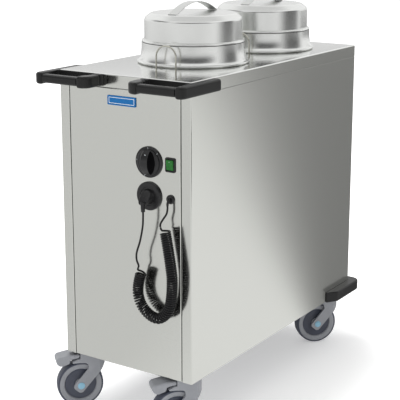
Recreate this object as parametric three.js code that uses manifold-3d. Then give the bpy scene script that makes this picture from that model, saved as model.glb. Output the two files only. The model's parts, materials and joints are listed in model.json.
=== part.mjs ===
// Plate dispenser cart: two heated, spring-loaded plate tubes in a sheet steel cabinet on four castors.
// Millimetres, +Z up. The control end faces -Y and the right side is +X.
// The origin is on the floor, under the middle of the overall box.

import * as THREE from 'three';
import { mergeVertices } from 'three/addons/utils/BufferGeometryUtils.js';
import Module from 'manifold-3d';

const wasm = await Module();
wasm.setup();

// ---------------------------------------------------------------- driving dimensions

const fit = 0.3;                  // gap between two pieces that touch

// Cabinet
const bodyWidth = 400;
const bodyLength = 866;
const worktopHeight = 915;
const worktopRim = 33;
const worktopSheet = 2;
const panelSheet = 1.5;
const rimSeam = 0.8;              // dark line under the worktop's rim
const panelSeam = 2;              // dark line beside the front and rear panels
const cornerFlange = 29;          // side panel's width round the corner
const returnDepth = 15;           // folded edges that stiffen the panels
const bendRadius = 3;
const trayThickness = 2;
const trayUpstand = 25;

// Dispenser tubes
const tubeInset = 307;            // front of the cabinet to the first tube's centre
const tubeSpacing = 355;
const tubeRadius = 138;
const tubeWall = 1.5;
const collarWidth = 7;            // collar round each tube on the worktop
const collarThickness = 1.5;
const tubeFloorGap = 57;          // from the tray up to the tube's open end

// Plate platforms and their springs
const platformDepth = 15;         // platform top below the worktop, with no plates on it
const platformClearance = 4;
const platformSheet = 2;
const platformSkirt = 40;
const springRadius = 50;
const springWire = 5;
const springTurns = 5;
const springSteps = 8;

// Lids
const lidSheet = 1.5;
const lidOverhang = 3.5;          // lid's rim beyond the collar
const lidRimHeight = 7;
const ledgeInset = 13;            // from the rim's radius in to the ledge, the band and the top
const ledgeHeight = 60;
const bandInset = 20;
const bandHeight = 116;
const lidTopInset = 36;
const lidHeight = 129;
const strapWidth = 28;
const strapSpan = 200;
const strapRise = 29;
const strapThickness = 2;
const strapFoot = 14;

// Wire plate guides, two to a tube
const guideClearance = 8;         // lid's rim to the middle of the wire
const guideAngle = 8;             // degrees round from the control end
const guideWidth = 60;
const guideHeight = 60;
const guideWire = 4.5;
const guideFoot = 14;             // leg's length below the top of the worktop

// Push handles on the two front corners
const handleReach = 71;
const handleSide = 25;            // how far the outer arm stands outside the cabinet
const handleArm = 97;             // outer arm's length behind the front of the cabinet
const handleInner = 58;           // inner arm's inner face from the middle of the cart
const handleInnerArm = 25;
const handleDrop = 1;
const handleHeight = 29;
const handleCorner = 26;
const handleEdge = 1.2;           // bevel on the handle's edges
const handleStrip = 4;
const knuckleWidth = 33;
const knuckleDepth = 33;
const gripDepth = 24;
const gripHeight = 22;
const gripSetback = 2;

// Bumpers on the two rear corners
const bumperReach = 33;
const bumperSide = 26;
const bumperSideLength = 151;
const bumperRearLength = 112;
const bumperTaper = 32;
const bumperCorner = 25;
const bumperDrop = 2;             // lower edge below the cabinet
const bumperHeight = 31;

// Controls: distance in from the right edge of the front panel, and down from the worktop
const knobInset = 92;
const switchInset = 29;
const controlDrop = 205;
const dialRadius = 39;
const dialRing = 6;               // part of the dial that shows round the knob
const dialThickness = 4;
const knobThickness = 5;
const knobWing = 18;
const knobWingHeight = 22;
const knobShaft = 4;
const switchWidth = 30;
const switchHeight = 37;
const switchFrame = 4.5;
const switchDepth = 6;
const rockerProud = 1.5;
const rockerTilt = 7;             // degrees each way from the middle
const socketDrop = 290;
const socketRadius = 36;
const socketThickness = 6;
const socketDish = 3;
const plugRadius = 20;
const plugBoss = 26;
const plugSleeve = 25;
const plugExit = 33;              // cable's exit below the plug's centre
const plugStandoff = 32;          // cable's distance from the panel at the plug
const plugOffset = 3;             // cable's distance to the right of the plug's centre
const glandRadius = 11.5;
const glandStandoff = 14;         // cable's distance from the panel at the gland
const glandSpout = 13;
const controlBack = 26;           // depth of the controls behind the panel
const neckInset = 12;             // hidden neck's radius inside the rim of a dial or socket
const badgeOffset = -4;
const badgeDrop = 63;
const badgeWidth = 86;
const badgeTall = 24;
const badgeThickness = 2.5;
const badgeBorder = 3;

// Curly mains cord, parked on the front panel
const cordDiameter = 5;
const coilDiameter = 28;
const coilStandoff = 26;          // middle of the curls from the panel
const curlGap = 0.55;             // free space between two curls on the inside of a bend
const curlSteps = 8;
const curlSides = 5;
const curlRunIn = 12;             // length over which the straight cord turns into curls

// Castors
const wheelRadius = 62.5;
const wheelWidth = 34;
const treadThickness = 6;
const ringWidth = 15.5;           // raised ring inside the tread
const casterHeadroom = 33;        // top of the tyre to the underside of the cabinet
const casterTrail = 38;
const casterInsetX = 43;
const casterInsetY = 56;
const casterHeading = 228;        // degrees from +X to the way the wheels trail
const forkWall = 6.5;
const forkSideGap = 3.5;          // tyre to the inside of the fork
const forkSeam = 1;               // running gap between the fork's head and its plate
const headRadius = 30;
const headSkirt = 7;              // back edge of the fork's head below the top of the tyre
const crownGap = 2.5;             // tyre to the fork's crown
const crownReach = 23;            // crown's end ahead of the axle
const legHalfWidth = 15.5;
const legAngle = 49;
const legEnd = 18;
const legRound = 6;
const wellGap = 3.5;              // tyre to the hollow inside the fork's head
const axleRadius = 6;
const hubRadius = 13;
const capRadius = 9.5;
const capThickness = 1.5;
const kingpinRadius = 18;
const kingpinDrop = 10;
const mountPlateWidth = 80;
const mountPlateLength = 95;
const mountPlateThickness = 3;
const mountPlateCorner = 8;
const pedalHalfWidth = 24;
const pedalKnuckle = 6.2;
const pedalAhead = 7;             // pedal's pivot ahead of the axle
const pedalRise = 20;             // pedal's pivot above the top of the tyre

// Heater in the control compartment
const heaterSize = [220, 90, 110];
const heaterSetback = 40;

// ---------------------------------------------------------------- values that follow

const overallLength = bodyLength + handleReach + bumperReach;
const frontY = -overallLength / 2 + handleReach;
const rearY = frontY + bodyLength;
const halfWidth = bodyWidth / 2;
const bodyBottom = 2 * wheelRadius + casterHeadroom;
const panelTop = worktopHeight - worktopRim - rimSeam;
const flangeEdge = halfWidth - cornerFlange;
const panelEdge = flangeEdge - panelSeam;
const trayTop = bodyBottom + trayThickness;

const tubeOuter = tubeRadius + tubeWall;
const collarRadius = tubeOuter + collarWidth;
const tubeCentres = [frontY + tubeInset, frontY + tubeInset + tubeSpacing];
const tubeTop = worktopHeight + fit + collarThickness;
const tubeBottom = trayTop + tubeFloorGap;
const platformTop = worktopHeight - platformDepth;
const platformRadius = tubeRadius - platformClearance;
const lidRimRadius = collarRadius + lidOverhang;
const guideRadius = lidRimRadius + guideClearance;

const handleTop = worktopHeight - handleDrop;
const handleFront = frontY - handleReach;
const handleOuter = halfWidth + handleSide;
const gripFront = handleFront + gripSetback;

const knobPlace = panelEdge - knobInset;
const switchPlace = panelEdge - switchInset;
const controlHeight = worktopHeight - controlDrop;
const socketPlace = knobPlace;
const glandPlace = switchPlace;
const socketHeight = worktopHeight - socketDrop;
const badgeHeight = worktopHeight - badgeDrop;
const curlRadius = (coilDiameter - cordDiameter) / 2;

const tyreTop = 2 * wheelRadius;
const rimRadius = wheelRadius - treadThickness;
const forkSlot = wheelWidth / 2 + forkSideGap;
const forkHalfWidth = forkSlot + forkWall;
const plateTop = bodyBottom - fit;
const plateBottom = plateTop - mountPlateThickness;
const kingpinEnd = plateBottom - kingpinDrop;
const forkTop = plateBottom - forkSeam;
const pedalPivot = [casterTrail + pedalAhead, tyreTop + pedalRise];

const round = 2 * Math.PI;

// ---------------------------------------------------------------- finishes

const finish = (color, roughness, metalness) => ({ color, roughness, metalness });
const steel = finish(0xbdbfba, 0.35, 1);
const polished = finish(0xd6d8d6, 0.2, 1);
const zinc = finish(0x9a9c9e, 0.45, 1);
const black = finish(0x2b2c2d, 0.5, 0);
const cordBlack = finish(0x17181a, 0.45, 0);
const casterGrey = finish(0x8f9296, 0.5, 0);
const wheelGrey = finish(0x8c8e92, 0.55, 0);
const tyreNavy = finish(0x434755, 0.6, 0);
const capBlue = finish(0x7fa6bb, 0.4, 0);
const rockerGreen = finish(0x2f8a35, 0.35, 0);
const badgeBlue = finish(0x1e6fa8, 0.4, 0);

// ---------------------------------------------------------------- solids

// Turns the faces of a closed geometry outwards, whichever way its profile was drawn,
// and drops the faces that close up to nothing where a turned profile meets its axis.
function outward(geometry) {
  geometry.deleteAttribute('normal');
  geometry.deleteAttribute('uv');
  const merged = mergeVertices(geometry, 1e-4);
  const place = merged.getAttribute('position');
  const drawn = merged.getIndex().array;
  const faces = [];
  for (let i = 0; i < drawn.length; i += 3) {
    const [p, q, r] = [drawn[i], drawn[i + 1], drawn[i + 2]];
    if (p !== q && q !== r && r !== p) faces.push(p, q, r);
  }
  const a = new THREE.Vector3();
  const b = new THREE.Vector3();
  const c = new THREE.Vector3();
  let volume = 0;
  for (let i = 0; i < faces.length; i += 3) {
    a.fromBufferAttribute(place, faces[i]);
    b.fromBufferAttribute(place, faces[i + 1]);
    c.fromBufferAttribute(place, faces[i + 2]);
    volume += a.dot(b.cross(c));
  }
  if (volume < 0) {
    for (let i = 0; i < faces.length; i += 3) {
      [faces[i], faces[i + 1]] = [faces[i + 1], faces[i]];
    }
  }
  merged.setIndex(faces);
  return merged;
}

function toSolid(geometry) {
  const closed = outward(geometry);
  const vertProperties = new Float32Array(closed.getAttribute('position').array);
  const triVerts = new Uint32Array(closed.getIndex().array);
  return new wasm.Manifold(new wasm.Mesh({ numProp: 3, vertProperties, triVerts }));
}

function toGeometry(solid) {
  const mesh = solid.getMesh();
  const geometry = new THREE.BufferGeometry();
  geometry.setAttribute('position', new THREE.BufferAttribute(mesh.vertProperties, 3));
  geometry.setIndex(new THREE.BufferAttribute(mesh.triVerts, 1));
  return geometry;
}

// Box between two limits on each axis.
function block([x0, x1], [y0, y1], [z0, z1]) {
  const geometry = new THREE.BoxGeometry(x1 - x0, y1 - y0, z1 - z0);
  return geometry.translate((x0 + x1) / 2, (y0 + y1) / 2, (z0 + z1) / 2);
}

// Plan outline raised from z0 to z1.
function raised(shape, z0, z1, curveSegments = 4) {
  const geometry = new THREE.ExtrudeGeometry(shape, { depth: z1 - z0, bevelEnabled: false, curveSegments });
  return geometry.translate(0, 0, z0);
}

// Upright disc or post about (x, y).
function post(x, y, radius, z0, z1, sides = 32) {
  const geometry = new THREE.CylinderGeometry(radius, radius, z1 - z0, sides);
  return geometry.rotateX(Math.PI / 2).translate(x, y, (z0 + z1) / 2);
}

// Level disc or pin along Y about (x, z), a flat side down.
function pin(x, z, radius, y0, y1, sides = 24) {
  const geometry = new THREE.CylinderGeometry(radius, radius, y1 - y0, sides);
  return geometry.rotateY(Math.PI / sides).translate(x, (y0 + y1) / 2, z);
}

// Profile of [radius, height] points turned about Z.
function turned(profile, sides) {
  const points = profile.map(([r, z]) => new THREE.Vector2(r, z));
  return new THREE.LatheGeometry(points, sides).rotateX(Math.PI / 2);
}

// Profile of [radius, offset] points turned about Y, with a flat side down.
function turnedLevel(profile, sides) {
  const points = profile.map(([r, y]) => new THREE.Vector2(r, y));
  return new THREE.LatheGeometry(points, sides).rotateY(Math.PI / sides);
}

// Closed outline through [x, y] points.
function outline(points) {
  return new THREE.Shape(points.map(([x, y]) => new THREE.Vector2(x, y)));
}

// Corner of an outline rounded from one direction (degrees) to the next about a centre.
function corner([x, y], radius, from, to, steps = 4) {
  const points = [];
  for (let i = 0; i <= steps; i += 1) {
    const angle = THREE.MathUtils.degToRad(from + (to - from) * i / steps);
    points.push([x + radius * Math.cos(angle), y + radius * Math.sin(angle)]);
  }
  return points;
}

// Outline of a rectangle with round corners.
function roundedBox([x0, x1], [y0, y1], radius, steps = 3) {
  return outline([
    ...corner([x1 - radius, y1 - radius], radius, 0, 90, steps),
    ...corner([x0 + radius, y1 - radius], radius, 90, 180, steps),
    ...corner([x0 + radius, y0 + radius], radius, 180, 270, steps),
    ...corner([x1 - radius, y0 + radius], radius, 270, 360, steps),
  ]);
}

// The same outline on the other side of the cart.
const mirrored = (points, side) => points.map(([x, y]) => [side * x, y]);

// Tube of a given radius along a curve, with a flat side every 360/sides degrees.
function tubeAlong(curve, radius, sides, steps) {
  const section = outline(corner([0, 0], radius, 0, 360 * (1 - 1 / sides), sides - 1));
  return new THREE.ExtrudeGeometry(section, { steps, bevelEnabled: false, extrudePath: curve });
}

// Tube through a list of centres, each with two directions square to it, closed by a fan at each end.
function woundTube(rings, radius, sides) {
  const vertices = [];
  const faces = [];
  for (const { centre, across, up } of rings) {
    for (let k = 0; k < sides; k += 1) {
      const angle = round * k / sides;
      const point = centre.clone();
      point.addScaledVector(across, radius * Math.cos(angle));
      point.addScaledVector(up, radius * Math.sin(angle));
      vertices.push(...point.toArray());
    }
  }
  for (let i = 0; i + 1 < rings.length; i += 1) {
    for (let k = 0; k < sides; k += 1) {
      const next = (k + 1) % sides;
      const a = i * sides + k;
      const b = i * sides + next;
      faces.push(a, b, a + sides, b, b + sides, a + sides);
    }
  }
  const last = (rings.length - 1) * sides;
  for (let k = 1; k + 1 < sides; k += 1) {
    faces.push(0, k + 1, k, last, last + k, last + k + 1);
  }
  const geometry = new THREE.BufferGeometry();
  geometry.setAttribute('position', new THREE.Float32BufferAttribute(vertices, 3));
  geometry.setIndex(faces);
  return geometry;
}

// Rings for a wound tube, from its centre line; each ring's second direction starts near the one given.
function ringsAlong(centres, hint) {
  return centres.map((centre, i) => {
    const before = centres[Math.max(i - 1, 0)];
    const after = centres[Math.min(i + 1, centres.length - 1)];
    const along = after.clone().sub(before).normalize();
    const across = new THREE.Vector3().crossVectors(along, hint(i)).normalize();
    const up = new THREE.Vector3().crossVectors(across, along).normalize();
    return { centre, across, up };
  });
}

// Least distance between the surfaces of two parts of one tube that lie more than half a turn apart.
function selfGap(centres, perTurn, diameter) {
  let least = Infinity;
  for (let i = 0; i < centres.length; i += 1) {
    const end = Math.min(i + 3 * perTurn, centres.length);
    for (let j = i + Math.ceil(perTurn / 2); j < end; j += 1) {
      least = Math.min(least, centres[i].distanceTo(centres[j]));
    }
  }
  return least - diameter;
}

// ---------------------------------------------------------------- the model

const cart = new THREE.Group();

function add(name, shape, look, parent = cart) {
  const geometry = shape.isBufferGeometry ? outward(shape) : toGeometry(shape);
  const mesh = new THREE.Mesh(geometry, new THREE.MeshStandardMaterial(look));
  mesh.name = name;
  parent.add(mesh);
  return mesh;
}

// ---- cabinet

const tubeSides = 28;
const guides = [];
for (const centre of tubeCentres) {
  for (const half of [0, 180]) {
    guides.push({ centre, angle: THREE.MathUtils.degToRad(guideAngle + half) });
  }
}

// Place of a point on a guide: sideways along the loop and up from the worktop.
function guidePoint({ centre, angle }, sideways, z) {
  const x = guideRadius * Math.sin(angle) + sideways * Math.cos(angle);
  const y = centre - guideRadius * Math.cos(angle) + sideways * Math.sin(angle);
  return new THREE.Vector3(x, y, z);
}

function worktop() {
  const skin = roundedBox([-halfWidth, halfWidth], [frontY, rearY], bendRadius);
  const hollowX = [-halfWidth + worktopSheet, halfWidth - worktopSheet];
  const hollowY = [frontY + worktopSheet, rearY - worktopSheet];
  const underside = worktopHeight - worktopSheet;
  let solid = toSolid(raised(skin, worktopHeight - worktopRim, worktopHeight));
  solid = solid.subtract(toSolid(block(hollowX, hollowY, [worktopHeight - worktopRim - 1, underside])));
  for (const centre of tubeCentres) {
    const hole = post(0, centre, tubeOuter + fit, underside - 1, worktopHeight + 1, tubeSides);
    solid = solid.subtract(toSolid(hole));
  }
  for (const guide of guides) {
    for (const side of [-1, 1]) {
      const foot = guidePoint(guide, side * (guideWidth - guideWire) / 2, 0);
      const hole = post(foot.x, foot.y, guideWire / 2 + fit, underside - 1, worktopHeight + 1, 8);
      solid = solid.subtract(toSolid(hole));
    }
  }
  return solid;
}

// Folded side panel: the side itself, a flange round each corner and a return on each flange.
function sidePanel(side) {
  const inner = flangeEdge + panelSheet;
  const skin = halfWidth - panelSheet;
  const points = [
    [flangeEdge, frontY],
    ...corner([halfWidth - bendRadius, frontY + bendRadius], bendRadius, 270, 360, 3),
    ...corner([halfWidth - bendRadius, rearY - bendRadius], bendRadius, 0, 90, 3),
    [flangeEdge, rearY],
    [flangeEdge, rearY - returnDepth],
    [inner, rearY - returnDepth],
    [inner, rearY - panelSheet],
    ...corner([skin - bendRadius + panelSheet, rearY - bendRadius], bendRadius - panelSheet, 90, 0, 2),
    ...corner([skin - bendRadius + panelSheet, frontY + bendRadius], bendRadius - panelSheet, 0, -90, 2),
    [inner, frontY + panelSheet],
    [inner, frontY + returnDepth],
    [flangeEdge, frontY + returnDepth],
  ];
  return raised(outline(mirrored(points, side)), bodyBottom, panelTop);
}

// Pan with its folded edges towards the inside of the cabinet.
function endPanel(face, inward) {
  const span = (a, b) => [Math.min(a, b), Math.max(a, b)];
  const pan = block([-panelEdge, panelEdge], span(face, face + inward * returnDepth), [bodyBottom, panelTop]);
  const hollow = block(
    [-panelEdge + panelSheet, panelEdge - panelSheet],
    span(face + inward * panelSheet, face + inward * (returnDepth + 1)),
    [bodyBottom + panelSheet, panelTop - panelSheet],
  );
  return toSolid(pan).subtract(toSolid(hollow));
}

function frontPanel() {
  const through = [frontY - 1, frontY + panelSheet + 1];
  const halfBack = switchWidth / 2 - 2;
  const tallBack = switchHeight / 2 - 2;
  return endPanel(frontY, 1)
    .subtract(toSolid(pin(knobPlace, controlHeight, dialRadius - neckInset + fit, ...through, 16)))
    .subtract(toSolid(pin(socketPlace, socketHeight, socketRadius - neckInset + fit, ...through, 16)))
    .subtract(toSolid(pin(glandPlace, socketHeight, glandRadius - 4 + fit, ...through, 16)))
    .subtract(toSolid(block(
      [switchPlace - halfBack - fit, switchPlace + halfBack + fit],
      through,
      [controlHeight - tallBack - fit, controlHeight + tallBack + fit],
    )));
}

function baseTray() {
  const x = halfWidth - panelSheet - fit;
  const y = [frontY + returnDepth + fit, rearY - returnDepth - fit];
  const wall = trayThickness;
  const pan = block([-x, x], y, [bodyBottom, bodyBottom + trayUpstand]);
  const hollow = block([-x + wall, x - wall], [y[0] + wall, y[1] - wall], [trayTop, bodyBottom + trayUpstand + 1]);
  return toSolid(pan).subtract(toSolid(hollow));
}

add('worktop', worktop(), polished);
add('left_side_panel', sidePanel(-1), steel);
add('right_side_panel', sidePanel(1), steel);
add('front_panel', frontPanel(), steel);
add('rear_panel', endPanel(rearY, -1), steel);
add('base_tray', baseTray(), zinc);

// Bare badge plate, with a raised border
function badge() {
  const half = badgeWidth / 2;
  const tall = badgeTall / 2;
  const x = badgeOffset;
  const z = badgeHeight;
  const back = frontY - fit;
  const plate = block([x - half, x + half], [back - badgeThickness, back], [z - tall, z + tall]);
  const field = block(
    [x - half + badgeBorder, x + half - badgeBorder],
    [back - badgeThickness - 1, back - badgeThickness + 0.8],
    [z - tall + badgeBorder, z + tall - badgeBorder],
  );
  return toSolid(plate).subtract(toSolid(field));
}

add('badge_plate', badge(), badgeBlue);

// ---- dispenser tubes, platforms and springs

// Open tube that hangs from its collar on the worktop.
function dispenserTube() {
  return turned([
    [tubeRadius, tubeBottom],
    [tubeOuter, tubeBottom],
    [tubeOuter, worktopHeight + fit],
    [collarRadius, worktopHeight + fit],
    [collarRadius, tubeTop],
    [tubeRadius, tubeTop],
    [tubeRadius, tubeBottom],
  ], tubeSides);
}

// Round plate rest with a skirt that keeps it level in the tube.
function platform() {
  const under = platformTop - platformSheet;
  const inner = platformRadius - platformSheet;
  return turned([
    [0, under],
    [inner, under],
    [inner, platformTop - platformSkirt],
    [platformRadius, platformTop - platformSkirt],
    [platformRadius, platformTop - 2],
    [platformRadius - 2, platformTop],
    [0, platformTop],
  ], tubeSides);
}

// Open compression spring with its end turns flat on the tray and under the platform.
function platformSpring() {
  const bottom = trayTop + fit + springWire / 2;
  const top = platformTop - platformSheet - fit - springWire / 2;
  const flatTurns = 0.75;
  const turns = springTurns + 2 * flatTurns;
  const steps = Math.round(turns * springSteps);
  const centres = [];
  for (let i = 0; i <= steps; i += 1) {
    const turn = turns * i / steps;
    const rise = THREE.MathUtils.clamp((turn - flatTurns) / springTurns, 0, 1);
    const eased = rise * rise * (3 - 2 * rise) * 0.15 + rise * 0.85;
    const z = bottom + (top - bottom) * eased;
    const x = springRadius * Math.cos(round * turn);
    const y = springRadius * Math.sin(round * turn);
    centres.push(new THREE.Vector3(x, y, z));
  }
  console.log('spring: least gap to itself', selfGap(centres, springSteps, springWire).toFixed(2), 'mm');
  return woundTube(ringsAlong(centres, () => new THREE.Vector3(0, 0, 1)), springWire / 2, 4);
}

// ---- lids

// Lid spun from sheet: a rolled rim, a tapering skirt, a ledge, an upright band and a flat top.
function lid() {
  const base = tubeTop + fit;
  const rise = (height) => worktopHeight + height;
  const ledgeRadius = lidRimRadius - ledgeInset;
  const bandRadius = lidRimRadius - bandInset;
  const lidTopRadius = lidRimRadius - lidTopInset;
  const outer = [
    [lidRimRadius - 3, base],
    [lidRimRadius, base + 1.5],
    [lidRimRadius, base + lidRimHeight - 3],
    [lidRimRadius - 5, base + lidRimHeight],
    [ledgeRadius + 0.5, rise(ledgeHeight - 3)],
    [ledgeRadius - 2, rise(ledgeHeight)],
    [bandRadius + 0.5, rise(ledgeHeight + 1)],
    [bandRadius, rise(bandHeight)],
    [bandRadius - 3.5, rise(bandHeight + 6)],
    [lidTopRadius, rise(lidHeight)],
    [0, rise(lidHeight)],
  ];
  const inner = [
    [0, rise(lidHeight) - lidSheet],
    [lidTopRadius, rise(lidHeight) - lidSheet],
    [bandRadius - 4.5, rise(bandHeight + 4.5)],
    [bandRadius - lidSheet, rise(bandHeight) - 1],
    [bandRadius - lidSheet, rise(ledgeHeight + 1) - lidSheet],
    [ledgeRadius - 3.5, rise(ledgeHeight) - lidSheet],
    [lidRimRadius - 5 - lidSheet, base],
    [lidRimRadius - 3, base],
  ];
  return turned([...outer, ...inner], 30);
}

// Arched strap along Y with two flat feet on the lid's top.
function lidStrap() {
  const seat = worktopHeight + lidHeight + fit;
  const half = strapSpan / 2;
  const steps = 12;
  const line = [];
  for (let i = 0; i <= steps; i += 1) {
    const t = -1 + 2 * i / steps;
    line.push([t * (half - strapFoot), (strapRise - strapThickness) * (1 - t * t)]);
  }
  const under = [[-half, 0], ...line, [half, 0]];
  const over = under.map(([y, z]) => [y, z + strapThickness]).reverse();
  const section = outline([...under, ...over]);
  const arch = new THREE.ExtrudeGeometry(section, { depth: strapWidth, bevelEnabled: false });
  arch.rotateY(Math.PI / 2);
  arch.rotateX(Math.PI / 2);
  return arch.translate(-strapWidth / 2, 0, seat);
}

['front', 'rear'].forEach((end, i) => {
  const centre = tubeCentres[i];
  add(`${end}_tube`, dispenserTube(), steel).position.y = centre;
  add(`${end}_platform`, platform(), polished).position.y = centre;
  add(`${end}_spring`, platformSpring(), zinc).position.y = centre;
  add(`${end}_lid`, lid(), polished).position.y = centre;
  add(`${end}_lid_strap`, lidStrap(), polished).position.y = centre;
});

// ---- wire plate guides: a loop with two legs through the worktop

function plateGuide(guide) {
  const half = (guideWidth - guideWire) / 2;
  const top = worktopHeight + guideHeight - guideWire / 2;
  const spring = top - half;
  const steps = 12;
  const centres = [guidePoint(guide, -half, worktopHeight - guideFoot)];
  for (let i = 0; i <= steps; i += 1) {
    const angle = Math.PI * (1 - i / steps);
    centres.push(guidePoint(guide, half * Math.cos(angle), spring + half * Math.sin(angle)));
  }
  centres.push(guidePoint(guide, half, worktopHeight - guideFoot));
  const facing = new THREE.Vector3(Math.sin(guide.angle), -Math.cos(guide.angle), 0);
  return woundTube(ringsAlong(centres, () => facing), guideWire / 2, 6);
}

['front_tube_front', 'front_tube_rear', 'rear_tube_front', 'rear_tube_rear'].forEach((place, i) => {
  add(`${place}_guide`, plateGuide(guides[i]), zinc);
});

// ---- push handles and their grips

function handleFrame(side) {
  const back = frontY - fit;
  const inner = handleInner;
  const knuckleEdge = inner + knuckleWidth;
  const knuckleBack = handleFront + knuckleDepth;
  const chamfer = 4;
  const armInner = halfWidth + fit;
  const armWidth = handleOuter - armInner;
  const endRound = 8;
  const points = [
    [inner, back],
    ...corner([inner + handleCorner, handleFront + handleCorner], handleCorner, 180, 270, 5),
    [knuckleEdge, handleFront],
    [knuckleEdge, knuckleBack - chamfer],
    [inner + handleInnerArm, knuckleBack + chamfer],
    [inner + handleInnerArm, back - handleStrip],
    [armInner, back - handleStrip],
    [armInner, handleFront],
    ...corner([armInner, handleFront + armWidth], armWidth, 275, 360, 4),
    ...corner([handleOuter - endRound, frontY + handleArm - endRound], endRound, 0, 90, 2),
    [armInner, frontY + handleArm],
    [armInner, back],
  ];
  const shape = outline(mirrored(points, side));
  const geometry = new THREE.ExtrudeGeometry(shape, {
    depth: handleHeight - 2 * handleEdge,
    bevelEnabled: true,
    bevelThickness: handleEdge,
    bevelSize: handleEdge,
    bevelOffset: -handleEdge,
    bevelSegments: 1,
  });
  return geometry.translate(0, 0, handleTop - handleHeight + handleEdge);
}

// Grip bar between the two knuckles of a handle.
function grip(side) {
  const from = handleInner + knuckleWidth + fit;
  const to = halfWidth;
  const middle = handleTop - handleHeight / 2;
  const y = [gripFront, gripFront + gripDepth];
  const section = roundedBox(y, [middle - gripHeight / 2, middle + gripHeight / 2], 6, 3);
  const geometry = new THREE.ExtrudeGeometry(section, { depth: to - from, bevelEnabled: false });
  geometry.rotateY(Math.PI / 2);
  geometry.rotateX(Math.PI / 2);
  return geometry.translate(side > 0 ? from : -to, 0, 0);
}

// ---- corner bumpers at the rear

function bumper(side) {
  const x = halfWidth + fit;
  const y = rearY + fit;
  const outerX = halfWidth + bumperSide;
  const outerY = rearY + bumperReach;
  const points = [
    [x, rearY - bumperSideLength],
    [outerX, rearY - bumperSideLength + bumperTaper],
    ...corner([outerX - bumperCorner, outerY - bumperCorner], bumperCorner, 0, 90, 5),
    [halfWidth - bumperRearLength + bumperTaper, outerY],
    [halfWidth - bumperRearLength, y],
    [x, y],
  ];
  const bottom = bodyBottom - bumperDrop;
  return raised(outline(mirrored(points, side)), bottom, bottom + bumperHeight);
}

[['left', -1], ['right', 1]].forEach(([name, side]) => {
  add(`${name}_handle`, handleFrame(side), black);
  add(`${name}_grip`, grip(side), black);
  add(`${name}_bumper`, bumper(side), black);
});

// ---- controls

const dialFront = frontY - fit - dialThickness;
const knobRadius = dialRadius - dialRing;

function thermostat() {
  const disc = pin(knobPlace, controlHeight, dialRadius, dialFront, frontY - fit, 32);
  const neck = pin(knobPlace, controlHeight, dialRadius - neckInset, frontY - 1, frontY + controlBack, 16);
  const shaft = pin(knobPlace, controlHeight, knobShaft, dialFront - knobThickness, frontY, 12);
  return toSolid(disc).add(toSolid(neck)).add(toSolid(shaft));
}

function thermostatKnob() {
  const back = dialFront - fit;
  const front = back - knobThickness;
  const disc = pin(knobPlace, controlHeight, knobRadius, front, back, 32);
  const wing = roundedBox([-knobWing / 2, knobWing / 2], [-knobRadius + 5, knobRadius - 5], 6, 3);
  const bar = new THREE.ExtrudeGeometry(wing, { depth: knobWingHeight, bevelEnabled: false });
  bar.rotateX(Math.PI / 2).translate(knobPlace, front + 1, controlHeight);
  const bore = pin(knobPlace, controlHeight, knobShaft + fit, front - fit, back + 1, 12);
  return toSolid(disc).add(toSolid(bar)).subtract(toSolid(bore));
}

const switchFront = frontY - fit - switchDepth;
const rockerHalfHeight = switchHeight / 2 - switchFrame;
const rockerHalfWidth = switchWidth / 2 - switchFrame;
const rockerPivot = switchFront + 8;

function switchHousing() {
  const x = [switchPlace - switchWidth / 2, switchPlace + switchWidth / 2];
  const z = [controlHeight - switchHeight / 2, controlHeight + switchHeight / 2];
  const rim = block(x, [switchFront, frontY - fit], z);
  const body = block([x[0] + 2, x[1] - 2], [frontY - 1, frontY + controlBack], [z[0] + 2, z[1] - 2]);
  const well = block(
    [switchPlace - rockerHalfWidth - fit, switchPlace + rockerHalfWidth + fit],
    [switchFront - 1, switchFront + 16],
    [controlHeight - rockerHalfHeight - 1, controlHeight + rockerHalfHeight + 1],
  );
  return toSolid(rim).add(toSolid(body)).subtract(toSolid(well));
}

// Rocker with a shallow V face. Its outline is drawn about the pivot, and it rests with its lower end in.
function switchRocker() {
  const tilt = THREE.MathUtils.degToRad(rockerTilt);
  const half = rockerHalfHeight - 0.8;
  const face = switchFront - rockerProud - rockerPivot;
  const section = outline([
    [face - half * Math.tan(tilt), -half],
    [face, 0],
    [face - half * Math.tan(tilt), half],
    [0, half - 2],
    [4, 0],
    [0, -half + 2],
  ]);
  const rocker = new THREE.ExtrudeGeometry(section, { depth: 2 * rockerHalfWidth, bevelEnabled: false });
  rocker.rotateY(Math.PI / 2).rotateX(Math.PI / 2).rotateX(tilt);
  return rocker.translate(switchPlace - rockerHalfWidth, rockerPivot, controlHeight);
}

const socketFront = frontY - fit - socketThickness;

// Park socket: a dished disc with a body behind the panel.
function parkSocket() {
  const disc = pin(socketPlace, socketHeight, socketRadius, socketFront, frontY - fit, 32);
  const body = pin(socketPlace, socketHeight, socketRadius - neckInset, frontY - 1, frontY + controlBack, 16);
  const dish = pin(socketPlace, socketHeight, plugRadius + 4, socketFront - 1, socketFront + socketDish, 24);
  return toSolid(disc).add(toSolid(body)).subtract(toSolid(dish));
}

// Spout that tapers downwards from one radius to another, with its lower end at (x, y, z).
function spout([x, y, z], height, upper, lower) {
  const geometry = new THREE.CylinderGeometry(upper, lower, height, 12);
  return geometry.rotateX(Math.PI / 2).translate(x, y, z + height / 2);
}

const cordExit = cordDiameter / 2 + 1.7;

// Right-angle plug whose cable leaves downwards.
function plug() {
  const back = socketFront + socketDish - fit;
  const front = back - plugBoss;
  const boss = pin(socketPlace, socketHeight, plugRadius, front, back, 20);
  const hood = pin(socketPlace, socketHeight + 2, 13, frontY - plugStandoff - 7, front + 1, 16);
  const end = [socketPlace + plugOffset, frontY - plugStandoff, socketHeight - plugExit];
  return toSolid(boss).add(toSolid(hood)).add(toSolid(spout(end, plugSleeve, 6.5, cordExit)));
}

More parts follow.
